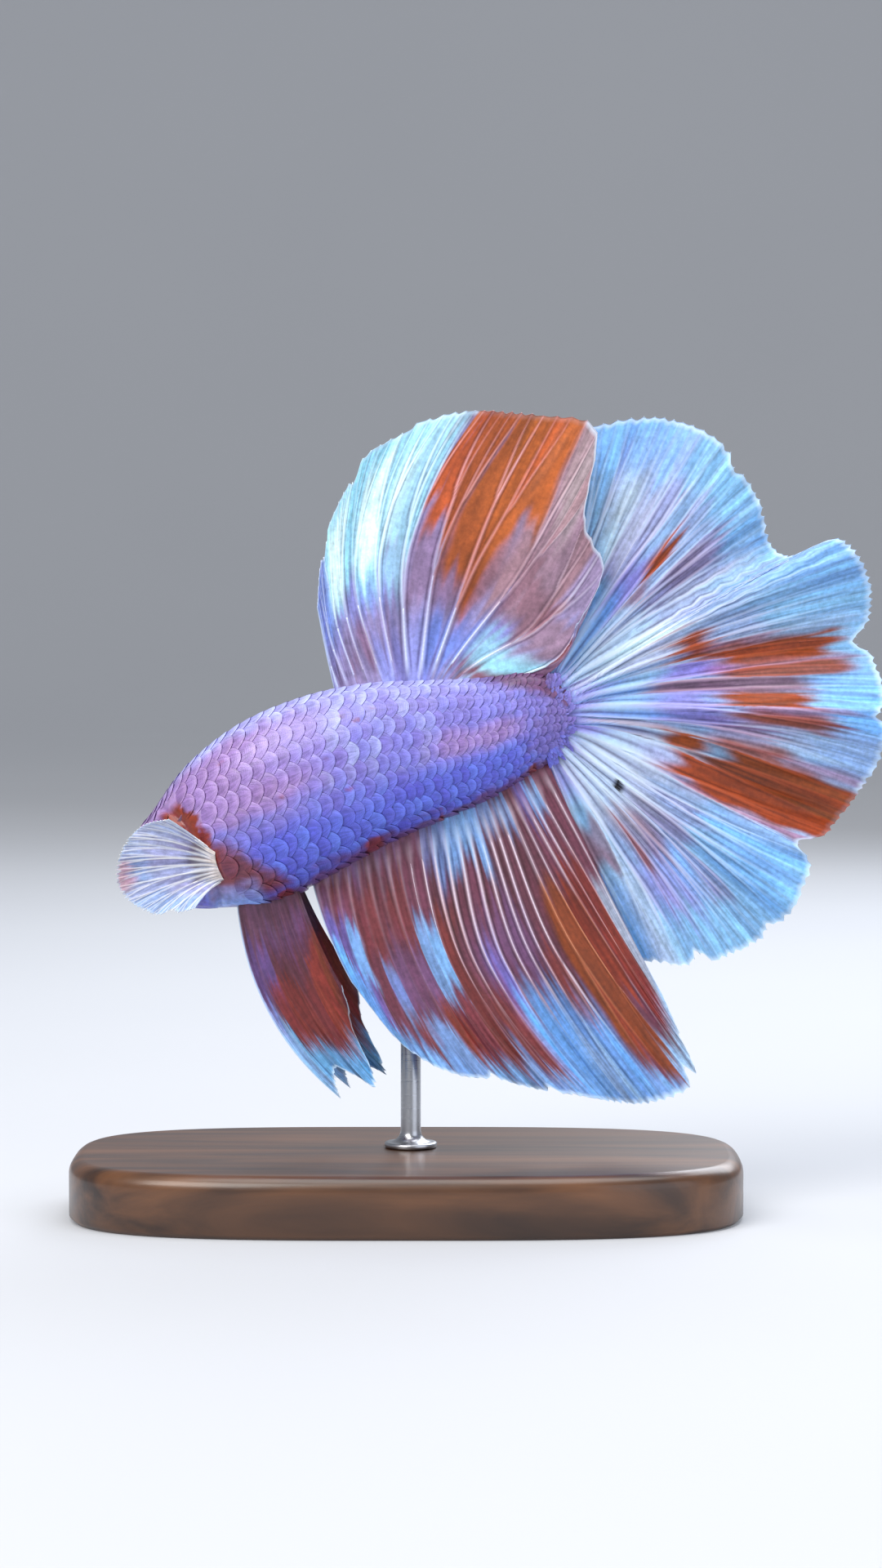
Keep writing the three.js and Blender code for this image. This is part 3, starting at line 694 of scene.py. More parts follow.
for hand, side in (("left", 1), ("right", -1)):
    r, sides = EYE["radius"], 72
    level = unit(np.cross(eye_axis[side], [0.0, 0.0, 1.0]))
    axes = (level, np.cross(level, eye_axis[side]), eye_axis[side])
    # From the pupil's middle outwards: a recessed lens, the iris's slope, then the ball's own curve.
    lens = ((0.2, 0.85), (0.36, 0.8), (0.405, 0.76), (0.43, 0.8))
    ball = [(0.05, 0.86 * r), *((x * r, h * r) for x, h in lens)]
    polar = np.radians(np.linspace(34, 176, 26))
    ball += [(r * 0.985 * math.sin(p), r * 0.985 * math.cos(p)) for p in polar]
    polar = np.radians(np.linspace(4, 62, 18))
    dome = [(1.015 * r * math.sin(p), 1.015 * r * math.cos(p) + 0.1 * r * math.cos(p) ** 6) for p in polar]
    dome += [(0.99 * x, y - 0.03) for x, y in dome[::-1]]
    for name, profile, finish in (("eyeball", ball[::-1], iris), ("cornea", dome[::-1], cornea_clear)):
        spread = np.repeat([min(x / r, 1.0) if h > 0 else 1.0 for x, h in profile], sides)
        turn = 2 * np.pi * np.arange(sides) / sides
        turn = np.tile(3 * np.sin(turn) + 3 * np.cos(turn), len(profile))
        tags = dict(spread=np.append(spread, [0.0, 1.0]), turn=np.append(turn, [0.0, 0.0]))
        piece = turned_piece(f"{name}_{hand}", profile, eye_centre[side], finish, axes, sides, tags)
        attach(piece, "root")
        if name == "eyeball":
            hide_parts(f"eye_{hand}")

# ---- The fins ----------------------------------------------------------------------------------------
# Each fin is a fan of bony rays, soft and jointed, that fork towards the margin, with a thin skin stretched
# between them on both sides. The skin is pleated from ray to ray, and at the frayed margin it falls back
# between the ray tips. The tail fin is the largest, half a disc; the front edge of the dorsal is stepped.
# A key is a ray's tip (x, z) and its bow, the height of its arc as a share of its length. "rays" are the
# rays' places across the fin in percent, and "at_root" where they start when that is not straight below. A
# fin with a "spread", its margin so many times as long as its root, has straight rays; others curve. "bold"
# says at some places across how high up the rays stand out of the skin, and how strongly.
FINS = dict(
    dorsal=dict(
        root=((0.548, 0), (0.775, 0), 1.0), drawn_out=0.13, bold=((0, 0.95, 0.8), (1, 0.95, 1.0)),
        front_edge=0.008, lean=-2.6, ripple=0.9, pleats=3.5, fold=0.12, crowded=0.02, swell=(0.5, 0.13),
        forks=(0.33, 0.62), together=0.6, ray_radius=0.17, grid=(460, 64), fray=0.3, scallop=(0.5, 11),
        steps=(0.3, 8), notches=[(0.235, 0.8, 0.012), (0.105, 0.8, 0.01)],
        rays=(1.2, 6, 12.5, 20, 28.5, 39.5, 48.7, 57, 64.2, 74.2, 87, 97.5),
        at_root=(3, 10, 17, 25, 35, 44, 52, 59, 65, 71, 80, 93),
        keys=[(-4.1, 16.8, 0.01), (-3.7, 22.4, 0.03), (-1.6, 28, 0.06), (1.2, 32.2, 0.09), (5.2, 34.6, 0.11),
            (9.6, 35.6, 0.11), (13.6, 35.8, 0.09), (18, 35.4, 0.03), (23.2, 34.2, -0.02),
            (22.2, 25.6, -0.05), (24, 20.5, -0.08), (21.1, 14.8, -0.16)],
    ),
    caudal=dict(
        root=None, spread=7, kink=(0.3, 0.04, 0.008), bold=((0, 0.75, 1.0), (1, 0.75, 1.0)),
        front_edge=0.003, lean=2.4, ripple=2.3, pleats=5, fold=0.26, crowded=0.45, swell=(1.1, 0.16),
        forks=(0.24, 0.55), together=0.85, ray_radius=0.2, grid=(720, 66), fray=0.4, scallop=(0.9, 17),
        notches=[(0.165, 0.8, 0.008), (0.3, 1.5, 0.018), (0.462, 1.7, 0.012), (0.55, 1.0, 0.009),
            (0.722, 2.2, 0.012), (0.81, 0.8, 0.009), (0.91, 1.3, 0.01)],
        rays=(1, 4.5, 8.5, 11.5, 17.5, 21, 24, 28.5, 32.5, 36.5, 40, 43.5, 45.7, 50, 52.5, 55.5, 61.2, 64,
            66.5, 71.2, 74.5, 78, 82, 86, 90, 94.5, 98.5),
        at_root=(1, 2.5, 4, 5.4, 7.5, 9, 10.5, 13, 15.5, 18.5, 21.5, 24.5, 27.2, 31.5, 35, 38.8, 45.5, 49.5,
            54, 60, 64.5, 69, 75, 81, 87, 93, 98),
        keys=[(20.4, 34.2, -0.01), (29, 35.8, 0), (35.6, 33.6, -0.01), (39.8, 28, 0.02), (42, 22, 0.02),
            (47.6, 23.4, 0.02), (50.7, 19.2, 0.03), (51.2, 13, 0.03), (52.5, 7.2, 0.02), (52, 1.4, 0.04),
            (48.4, -4, 0.02), (45.4, -8.4, -0.03), (42, -15.2, 0.01), (37.2, -18.3, 0.03),
            (32.4, -19.4, 0.03), (26.8, -18.6, -0.02)],
    ),
    anal=dict(
        root=((0.462, 180), (0.93, 180), 1.0), front_edge=0.008, lean=-2.2, ripple=0.9, pleats=4, fold=0.11,
        bold=((0, 0.28, 0.3), (0.36, 0.33, 0.4), (0.46, 0.55, 1.0), (0.74, 0.72, 1.0), (0.8, 0.7, 0.6),
            (1, 0.8, 0.6)),
        forks=(0.58,), together=0.8, ray_radius=0.155, grid=(580, 70), crowded=0.14, swell=(0.5, 0.14),
        fray=0.3, scallop=(0.6, 13),
        notches=[(0.3, 0.7, 0.01), (0.43, 0.8, 0.01), (0.8, 1.8, 0.014), (0.9, 0.7, 0.01)],
        rays=(1.2, 5.5, 9.5, 13.8, 17.7, 21.4, 25, 28.6, 32.2, 36, 40, 44, 47.8, 51.4, 55, 58.5, 61.8, 65,
            69, 74, 78.5, 84, 88.2, 93, 98.5),
        at_root=(1.2, 5.5, 9.5, 13.8, 17.7, 21.4, 25.2, 29.2, 33.4, 37.8, 42.4, 47.2, 52, 56.2, 60, 63.7, 67,
            70.3, 73.5, 77.2, 80.3, 83.6, 86.8, 91, 97),
        keys=[(-0.6, -20.4, -0.04), (4.2, -26.4, -0.07), (9.2, -29.4, -0.07), (13.8, -30.2, -0.08),
            (18, -30.8, -0.09), (22.4, -31.6, -0.09), (26.2, -32.4, -0.05), (30, -32, -0.04),
            (33.2, -30.2, -0.03), (32, -26.4, -0.02), (29.8, -21.6, -0.01)],
    ),
    pelvic=dict(
        root=((0.335, 167), (0.44, 167), 0.6), mirrored_at=0.4,
        bold=((0, 0.7, 0.5), (0.4, 0.5, 0.35), (1, 0.4, 0.3)),
        front_edge=0.04, lean=-3.4, ripple=0.4, pleats=1.5, fold=0.16, crowded=0.02, swell=(0.35, 0.15),
        forks=(0.3, 0.55), together=0.9, ray_radius=0.13, grid=(160, 76), fray=0.35, scallop=(0.5, 5),
        notches=[(0.3, 1.2, 0.08), (0.84, 1.2, 0.06)],
        rays=(2, 14, 30, 50, 72, 94),
        keys=[(-1.6, -31.6, -0.11), (-1.9, -29.8, -0.09), (0.2, -29.6, -0.08), (2, -30.4, -0.07),
            (0.7, -26.8, -0.05), (-1.6, -20.4, -0.03)],
    ),
    pectoral=dict(
        root=((0.324, 101), (0.328, 130), 0.4), mirrored_at=0.3, bold=((0, 1.2, 0.9), (1, 1.2, 1.0)),
        front_edge=0.03, lean=-3.6, ripple=0.3, pleats=2, fold=0.07, crowded=0.3, swell=(0.55, 0.18),
        forks=(0.3, 0.66), together=0.6, ray_radius=0.13, grid=(300, 50), fray=0.4, scallop=(0.15, 9),
        notches=[(0.87, 0.8, 0.03)],
        rays=(2, 8, 16, 23.5, 30, 37, 45, 57, 66, 74, 82, 90, 98),
        keys=[(-18.4, -3.8, -0.02), (-20.9, -4.4, -0.08), (-22.8, -6.3, -0.06), (-23.6, -8.9, -0.03),
            (-23, -11.2, -0.04), (-21.2, -12.7, -0.04), (-18.9, -13.4, -0.08), (-15.9, -12.7, -0.07)],
    ),
)


def fin_root(fin, u):
    """A fin's root line, a little under the skin. The tail fin's follows the rounded end of the body."""
    if fin["root"] is None:
        top, bottom = body_point(0.93, 0.0, -1.0), body_point(0.93, 180.0, -1.0)
        bulge = 1.4 * np.sin(np.pi * np.clip(u, 0, 1)) ** 0.6
        return top + (bottom - top) * u[..., None] + bulge[..., None] * np.array([1.0, 0, 0])
    (t0, angle0), (t1, angle1), sunk = fin["root"]
    s = np.clip(u, -0.1, 1.1)
    drawn_out = fin.get("drawn_out", 0) * smooth(0.86, 1.0, s)
    return body_point(t0 + (t1 - t0) * s + drawn_out, angle0 + (angle1 - angle0) * s, -sunk)


def ray_places(fin):
    """The places of a fin's rays across it, at the margin and at the root."""
    return np.array(fin["rays"]) / 100, np.array(fin.get("at_root", fin["rays"])) / 100


def shift_left(fin, v):
    """How much of a ray's sideways shift at its root is left at the height v."""
    return (1 - v) / (1 + fin["spread"] * v) if "spread" in fin else 1 - smooth(0, 0.5, v)


def boldness(fin, u, v):
    """How strongly the rays stand out at (u, v)."""
    at, height, strength = zip(*fin["bold"])
    height = np.interp(u, at, height)
    return np.interp(u, at, strength) * (1 - 0.8 * smooth(height - 0.2, height + 0.2, v))


def fin_middle(fin, u, v):
    """A fin's middle surface: u runs across the rays, v from root to margin."""
    r = fin_root(fin, u)
    if "kink" in fin:
        # A few rays of the tail fin run to and fro in a zigzag, as they do in a fin that is half folded.
        at, wide, depth = fin["kink"]
        zigzag = 2 * np.abs((23 * v) % 2 - 1) - 1
        u = u + depth * zigzag * bell(u - at, wide) * smooth(0.46, 0.6, v) * (1 - smooth(0.88, 0.97, v))
    key = through(fin["keys"], u)
    dx, dz = key[..., 0] - r[..., 0], key[..., 1] - r[..., 2]
    arc = 4 * key[..., 2] * v * (1 - v)
    calm = np.sin(np.pi * np.clip(u, 0, 1)) ** 0.7
    wave = fin["ripple"] * calm * np.maximum(v, 0) ** 1.5 * np.sin(2 * np.pi * fin["pleats"] * u)
    # The pleats: every other ray stands forward, and towards the margin finer folds and a flutter join in.
    middle, root = ray_places(fin)
    places = middle + (root - middle) * shift_left(fin, np.maximum(v, 0))[..., None]
    rank = np.clip((u[..., None] - places[..., :-1]) / np.diff(places, axis=-1), 0, 1).sum(-1)
    folds = np.cos(np.pi * rank) * smooth(0.0, 0.25, v) * (1 - 0.35 * v)
    folds += 0.4 * np.cos(4 * np.pi * len(middle) * u) * smooth(0.4, 0.9, v)
    folds += 1.8 * streaks(u, v, (3 * len(middle), 4), 21) * smooth(0.4, 1.0, v)
    y = r[..., 1] + fin["lean"] * v + wave + fin["fold"] * folds * calm
    return np.stack([r[..., 0] + dx * v - dz * arc, y, r[..., 2] + dz * v + dx * arc], -1)


def grow_rays(fin, seed):
    """A fin's ray tree. Each tip has its root's place, its lanes (its place after each fork it has passed)
    and those forks' heights; the tips are in order across the fin."""
    rng = np.random.default_rng(seed)
    middle, root = ray_places(fin)
    levels = len(fin["forks"])
    bounds = np.concatenate([[0], (middle[1:] + middle[:-1]) / 2, [1]])
    tips = []
    for k, start in enumerate(root):
        heights = [fin["forks"][n] + rng.uniform(-0.06, 0.06, 2**n) for n in range(levels)]
        for tip in range(2**levels):
            lanes = [middle[k]]
            for n in range(1, levels + 1):
                part = tip >> (levels - n)
                even = bounds[k] + (part + 0.5) / 2**n * (bounds[k + 1] - bounds[k])
                lanes.append(middle[k] + (even - middle[k]) * fin["together"] ** (n < levels))
            passed = [heights[n][tip >> (levels - n)] for n in range(levels)]
            tips.append(dict(fin=fin, number=tip, start=start, lanes=lanes, heights=passed))
    return tips


def ray_line(tip, v):
    """Where a tip's line runs across the fin at the heights v."""
    lanes = tip["lanes"]
    u = lanes[0] + (tip["start"] - lanes[0]) * shift_left(tip["fin"], v)
    for n, height in enumerate(tip["heights"]):
        opened = 0.2 * smooth(height, height + 0.05, v) + 0.8 * smooth(height, min(height + 0.42, 1.02), v)
        u = u + (lanes[n + 1] - lanes[n]) * opened
    return u


def among_rays(tree, u, v):
    """The lane at each place (its place across the fin if the rays were straight), the number of the
    membrane between two tips that it is on and how wide that is, the nearest tip's number and how far
    across the fin that is."""
    lane = np.full(u.shape, tree[0]["lanes"][-1])
    membrane, closest = np.zeros(u.shape, int), np.zeros(u.shape, int)
    wide = np.full(u.shape, 0.02)
    before = ray_line(tree[0], v)
    gap = np.abs(u - before)
    lane = lane + np.minimum(u - before, 0)
    for k, (near, far) in enumerate(zip(tree[:-1], tree[1:])):
        after = ray_line(far, v)
        share = np.clip((u - before) / np.maximum(after - before, 1e-6), 0, 1)
        lane = lane + share * (far["lanes"][-1] - near["lanes"][-1])
        membrane += u > after
        wide = np.where((u > before) & (u <= after), after - before, wide)
        closest[np.abs(u - after) < gap] = k + 1
        gap = np.minimum(gap, np.abs(u - after))
        before = after
    return lane + np.maximum(u - before, 0), membrane, wide, closest, gap


def fin_reach(fin, tree, u):
    """How far the skin reaches at u, as a share of the ray. It falls back between the tips, in broad
    scallops, in the steps of the dorsal's front edge, and in a few deep notches."""
    length = np.linalg.norm(fin_middle(fin, u, np.ones_like(u)) - fin_root(fin, u), axis=-1)
    lanes = [tip["lanes"][-1] for tip in tree]
    rank = np.interp(u, lanes, np.arange(len(lanes)))
    own = np.random.default_rng(33).uniform(0.15, 1.0, len(lanes) + 1)[np.floor(rank).astype(int)]
    rough = 0.5 + 0.5 * streaks(u, 0.5 + 0 * u, (3 * len(lanes), 1), 31)
    depth, cells = fin["scallop"]
    broad = 0.5 + 0.5 * streaks(u, 0.5 + 0 * u, (cells, 1), 35)
    back = fin["fray"] * (np.abs(np.sin(np.pi * rank)) ** 1.3 * own + 0.35 * rough) + depth * broad
    for at, notch, wide in fin["notches"]:
        back = back + notch * bell(u - at, wide)
    if "steps" in fin:
        high, count = fin["steps"]
        back = back + 3.2 * high * ((u * count) % 1.0) * (1 - smooth(0.3, 0.45, u))
    return 1 - back / np.maximum(length, 4)


def patches(lane, v, number, boxes, crisp, uneven, seed):
    """The strongest of several patches of colour, each between two lanes and two heights. Each membrane
    between two rays ends its part of a patch at a height of its own, so that the ends are ragged, and has
    a strength of its own."""
    best = np.zeros(lane.shape)
    side, end, ragged = (0.004, 0.045, 0.05) if crisp else (0.012, 0.08, 0.06)
    for k, box in enumerate(boxes):
        strength, u0, u1, v0, v1 = (percent / 100 for percent in box)
        own = np.random.default_rng(seed + k).uniform(-1, 1, (3, number.max() + 1))
        wander = streaks(np.clip(lane, 0, 1), v, (160, 10), seed + 50 + k)
        flame = streaks(np.clip(lane, 0, 1), 0 * v, (260, 1), seed + 70 + k)
        place = lane + 0.003 * wander
        low = v - ragged * (0.6 * own[0][number] + flame) + 0.02 * wander
        high = v - ragged * (0.6 * own[1][number] - flame) + 0.02 * wander
        inside = smooth(u0 - side, u0 + side, place) * (1 - smooth(u1 - side, u1 + side, place))
        inside = inside * smooth(v0 - end, v0 + end, low) * (1 - smooth(v1 - end, v1 + end, high))
        best = np.maximum(best, strength * inside * (1 - uneven * (0.5 + 0.5 * own[2][number])))
    return best


# The fins' markings. Each has its colour on the skin, the colour it gives the rays (None where it leaves
# them as they are), and its patches: strength, across from and to, height from and to, all in percent. The
# marks named in "crisp" end raggedly; the others fade out. The skin's colours are laid on in MARK_ORDER,
# the rays' in the order they are given here.
FIN_MARKS = dict(
    dorsal=dict(
        ground="#8f8bbd", ray="#ccd6f4", crisp="rust orange",
        mauve=("#8a769c", "#b9b0dc", (85, 2, 44, 0, 33), (95, 45, 66, 20, 60), (70, 68, 75, 30, 62),
            (50, 46, 49, 40, 62)),
        violet=("#7f86d2", None, (80, 30, 62, -10, 16), (60, 3, 12, 25, 50), (70, 12, 43, 30, 50),
            (80, 73, 82, 20, 42), (95, 86, 110, -10, 8)),
        deep=("#6b94f0", None, (85, 56, 80, 8, 24), (70, 0, 10, 42, 110), (40, 30, 44, 30, 45)),
        pale=("#a4e6fc", "#dcf8ff", (100, 10, 49.5, 46, 120), (70, 30, 37, 36, 50), (75, 41, 46, 36, 52),
            (95, 80, 94.5, 13, 30)),
        white=("#dafcff", "#f0ffff", (95, 13, 23.5, 50, 86), (100, 29.5, 36, 48, 86), (60, 39, 44, 52, 82),
            (70, 71, 80, 74, 120)),
        rose=("#9a747c", "#cba4b0", (95, 69, 87, 36, 120), (90, 85, 99, 36, 68), (50, 85, 99, 66, 120),
            (40, 88, 97, 30, 50)),
        rust=("#84404c", "#84404c", (60, 15, 19, 8, 18), (50, 24, 29, 14, 26), (100, 95, 110, 8, 80),
            (50, 47, 60, 93, 120), (50, 52, 66, 30, 60), (45, 72, 80, 30, 50), (100, 78, 110, 7, 12.5),
            (60, 78, 90, 42, 62)),
        orange=("#b0572a", "#f0aeb2", (100, 50.5, 53, 64, 120), (100, 52.5, 56, 55, 120),
            (100, 55.5, 60, 50, 120), (100, 59.8, 64, 42, 120), (100, 63.5, 69, 27, 120),
            (100, 68, 70.5, 60, 120)),
        umber=("#7e3116", None, (80, 64, 69, 20, 50), (35, 56, 64, 40, 62)),
    ),
    caudal=dict(
        ground="#82b8e4", ray="#bfd8f4", crisp="mauve rose rust orange",
        mauve=("#968fc0", "#c2bde2", (90, 9, 25, 40, 80), (60, 5, 12, 60, 95), (80, 69, 83, 30, 58),
            (100, 81, 94, 28, 76), (70, 25, 35, 46, 70), (60, 34, 44, 46, 66), (50, 27, 34, 70, 95),
            (70, 36, 46, 20, 40), (60, 17, 24, 20, 40), (70, 50, 62, 45, 75)),
        violet=("#7f70cc", "#ab9ee4", (95, -10, 110, -10, 10), (90, 13, 17, 30, 52),
            (100, 46.4, 49.4, 27, 56), (90, 51, 62, 26, 52), (90, 68, 70.2, 28, 48), (95, 33, 59, 3, 15),
            (80, 88, 100, 5, 20), (40, 56, 61, 50, 70), (50, 86, 93, 50, 80)),
        deep=("#66a8f6", None, (95, 9, 19, 11, 23), (85, 10, 16, 20, 33), (85, 46, 54, 13, 26),
            (95, 57, 67, 12, 25), (70, 50, 63, 80, 120), (60, 82, 87, 48, 70), (80, 95.5, 110, 60, 110),
            (40, 30, 40, 80, 120), (50, 2, 12, 75, 110), (50, 72, 80, 62, 95)),
        pale=("#b2c2de", "#dae8f8", (70, 22, 42, 12, 48), (60, 36, 47, 24, 42), (75, 63, 71, 16, 44),
            (90, 70, 95, 5, 37), (60, 5, 11, 48, 78), (60, 43.2, 44.8, 50, 95), (70, 93.6, 96.5, 36, 110),
            (60, 23.5, 27, 50, 90), (50, 71.2, 73, 30, 120), (50, 58, 63, 60, 120), (40, 17, 22, 10, 34)),
        white=("#ccecf4", "#effdfe", (95, 27, 36.5, 27, 44), (40, 28, 40, 14, 30), (50, 6.5, 8.5, 50, 72)),
        rose=("#9c5270", "#d697b4", (80, 47.8, 49.7, 50, 90), (70, 62.8, 64.2, 45, 110),
            (80, 71, 72.4, 45, 120), (60, 54.5, 58.5, 50, 84), (60, 96.5, 110, 30, 55), (60, 60, 63, 44, 66),
            (60, 43.5, 45, 45, 70)),
        rust=("#7a4450", "#b08494", (80, 17.5, 21.5, 38, 48), (100, 84, 92, 33, 57), (25, 77.5, 82, 36, 50),
            (70, 62.5, 68, 12, 30), (95, 95.8, 110, 30, 56), (80, 56, 58.2, 55, 84),
            (80, 49.8, 52.5, 28, 76), (50, 3, 9, 16, 22), (70, 35, 37, 33, 50), (60, 69, 71.5, 33, 55),
            (40, 20, 23.5, 55, 75)),
        orange=("#8e3e14", "#b4522c", (100, 44.7, 48, 52, 88), (100, 64.2, 71.2, 53, 120),
            (100, 63, 66, 29, 48), (100, 67.5, 70.6, 38, 62), (100, 38.5, 45.8, 36, 50),
            (100, 15, 18.2, 50, 65), (100, 52.5, 55, 52, 77), (90, 48.2, 50.3, 52, 88),
            (80, 44.2, 47, 42, 60), (80, 62.5, 65, 45, 75), (80, 56.5, 58.6, 55, 84)),
        umber=("#5e280a", "#8e3c1b", (90, 65.5, 69, 45, 93), (70, 45, 46.4, 66, 90), (40, 61, 63, 32, 42)),
    ),
    anal=dict(
        ground="#663648", ray="#d6c2d2", crisp="pale rose rust orange",
        mauve=("#745688", "#c0aed0", (80, 20, 32, 42, 72), (60, 44, 50, 40, 60), (80, -10, 50, -10, 6),
            (60, 52, 66, 30, 55), (50, -10, 12, 15, 35)),
        violet=("#6c68be", "#b4b0ea", (60, 8, 13, 62, 84), (80, 50.5, 55, 40, 70), (90, 81, 87, 0, 15),
            (80, -10, 12, 32, 60), (70, 18, 22, 52, 70), (40, 40, 46, 0, 20)),
        deep=("#64a6ec", "#a4d0f8", (95, -10, 11, 58, 120), (95, 52, 71, 64, 120), (80, 10, 19, 84, 120)),
        pale=("#74a6e2", "#b4d4f6", (85, 8.5, 14.8, 30, 60), (90, 32.5, 41, 31, 62),
            (50, 18.5, 21.5, 50, 72), (85, 22, 30, 74, 120), (95, -10, 110, 90.5, 130),
            (70, 43, 46, 78, 120), (80, 43, 48, 0, 17), (40, 40, 43, 0, 20), (95, 47.5, 60, 0, 18),
            (70, 60, 74, 0, 10), (80, 86, 93, 4, 14)),
        white=("#b8d8f4", "#e6f2fe", (70, 79, 97, 88, 130), (40, 60, 66, 74, 95), (50, 77.5, 80, 78, 120),
            (50, 94, 110, 50, 120)),
        rose=("#944a62", "#dca6b8", (60, 85, 93, 74, 92), (50, 50.5, 53, 50, 90), (50, 83.5, 85.5, 40, 85)),
        rust=("#7e3024", "#b47e82", (95, 29, 43, 63, 89), (95, 45.5, 50.5, 58, 90), (85, 40, 47, 28, 70),
            (60, 19, 23.5, 70, 87), (95, 83, 93.5, 30, 84), (80, 64, 69, 46, 70), (50, 14, 32, 18, 44),
            (40, 4, 14, 8, 26)),
        orange=("#84381c", "#c07a58", (100, 71.5, 80, 30, 84), (100, 74.5, 77.5, 74, 93),
            (90, 79.5, 83, 34, 68), (55, 30, 34, 68, 86), (35, 86, 92, 50, 74)),
        umber=("#541e16", None, (60, 78.5, 87, 30, 56), (40, 88, 92, 30, 50), (30, 13, 17, 35, 70)),
    ),
    pelvic=dict(
        ground="#582b3a", ray="#6a4458", crisp="pale rust orange",
        mauve=("#5a3e58", None, (70, -10, 110, -10, 18)),
        violet=("#5c4a8c", None, (80, 2, 30, 22, 50), (30, 30, 110, 14, 30)),
        pale=("#5f9ed2", "#93c2ea", (100, -10, 80, 77, 130), (80, -10, 16, 60, 120)),
        deep=("#86a0ea", "#b0c4f6", (80, -10, 6, 12, 60), (90, -10, 10, 50, 120)),
        white=("#a8c8f4", None, (40, 0, 14, 60, 120)),
        rust=("#74261c", "#8a4446", (90, 20, 110, 40, 78)),
        orange=("#843820", "#985444", (60, 66, 95, 42, 90)),
        umber=("#3c161e", None, (50, 40, 110, 4, 14), (30, 40, 70, 26, 45)),
    ),
    pectoral=dict(
        ground="#aebce6", ray="#ffffff", crisp="rust",
        mauve=("#a49cc8", None, (80, 20, 42, 26, 72), (50, -10, 16, 10, 45), (50, 50, 75, 30, 60)),
        violet=("#b0a8e2", None, (50, 70, 95, 20, 45)),
        deep=("#84b0e4", None, (70, 36, 54, 66, 84), (70, 64, 110, 60, 120)),
        pale=("#c0d2ee", None, (80, -10, 110, -10, 20), (50, 0, 30, 50, 120)),
        rose=("#cf9ca6", "#ecd0da", (90, 38, 57, 84, 120)),
        white=("#ece2da", "#fff6f2", (100, -10, 110, -10, 10)),
        rust=("#7a5a60", None, (50, 30, 55, 10, 20)),
        umber=("#5c4652", None, (95, 12, 75, 13, 27)),
    ),
)
MARK_ORDER = ("mauve", "violet", "deep", "pale", "white", "rose", "rust", "orange", "umber")
UNEVEN = dict(mauve=0.7, rust=0.5, orange=0.0, umber=0.4)
SPOT = dict(lane=0.8, height=0.265, wide=0.009, high=0.015, colour="#0d0b12")


def fin_tags(name, tree, u, v):
    """How much of each marking shows at (u, v) of a fin, and the random tone of each membrane."""
    marks = FIN_MARKS[name]
    lane, membrane, wide, closest, gap = among_rays(tree, u, v)
    tags = {"across": lane, "height": v}
    for k, mark in enumerate(MARK_ORDER):
        boxes, crisp = marks.get(mark, ())[2:], mark in marks["crisp"]
        tags[mark] = patches(lane, v, membrane, boxes, crisp, UNEVEN.get(mark, 0.25), 400 + 90 * k)
    tags["tone"] = np.random.default_rng(7).uniform(-1, 1, membrane.max() + 1)[membrane]
    if name == "caudal":
        # One small black spot, a cluster of dark cells low on the tail fin.
        away = np.hypot((lane - SPOT["lane"]) / SPOT["wide"], (v - SPOT["height"]) / SPOT["high"])
        tags["spot"] = 1 - smooth(0.7, 1.0, away)
    return tags, wide, closest, gap


def fin_materials(name):
    """The skin of a fin and its rays."""
    marks = FIN_MARKS[name]
    spot = [("spot", SPOT["colour"])] if name == "caudal" else []
    shown = [(mark, marks[mark][0]) for mark in MARK_ORDER if mark in marks] + spot
    lights = [(mark, marks[mark][1]) for mark in marks if mark in MARK_ORDER and marks[mark][1]] + spot
    # Fin skin: thin, wet and slightly see-through, with fine streaks that run with the rays, two to a
    # membrane, and grains of reflecting cells about 0.3 mm across. It is palest over a ray and at the rim,
    # and painted darker just beside a ray and in the folds between crowded rays, as painted shade in those
    # hollows. The pectoral's is the clearest.
    clear = name == "pectoral"
    skin = new_material(
        f"fin_skin_{name}", Roughness=0.5, IOR=1.38, Coat_Weight=0.12, Coat_Roughness=0.25,
        Subsurface_Weight=0.15, Subsurface_Radius=(0.0006, 0.0006, 0.0006), Alpha=0.72 if clear else 1.0,
    )
    strands = 2.4 * len(FINS[name]["rays"]) * 2 ** len(FINS[name]["forks"])
    lie = (multiplied(skin, tag(skin, "across"), strands), multiplied(skin, tag(skin, "height"), 6.0))
    fine = noise(skin, 1.0, 3.0, combined(skin, *lie))
    tone = tag(skin, "tone")
    value = multiplied(
        skin,
        ranged(skin, fine, 0.7, 1.28),
        ranged(skin, noise(skin, 1800.0, 4.0, Roughness=0.65), 0.78, 1.22),
        ranged(skin, tone, 0.86, 1.14, (-1.0, 1.0)),
    )
    colour = painted(skin, marks["ground"], shown)
    colour = toned(skin, colour, value, ranged(skin, tone, 0.507, 0.494, (-1.0, 1.0)))
    # Painted shade: the skin beside each ray and in the folds between crowded rays is darkened, less on the
    # clear pectoral.
    beside = multiplied(skin, tag(skin, "painted_valley_shade"), 0.35 if clear else 0.75)
    colour = laid_over(skin, beside, colour, linear("#7a6482"), "MULTIPLY")
    colour = laid_over(skin, tag(skin, "ridge"), colour, painted(skin, marks["ray"], lights))
    dress(skin, Base_Color=laid_over(skin, tag(skin, "rim"), colour, linear("#cfe6fb")))
    dress(skin, Normal=bump(skin, fine, 0.5, 0.0001))
    # Fin rays: pale bony rods with joints 0.4 mm apart, tinted by the colour of the skin beside them.
    bone = new_material(f"fin_rays_{name}", Roughness=0.4, Coat_Weight=0.2, Coat_Roughness=0.2)
    joints = bump(bone, waves(bone, tag(bone, "height"), 420.0), 0.4, 0.00003)
    dress(bone, Base_Color=painted(bone, marks["ray"], lights), Normal=joints)
    return skin, bone


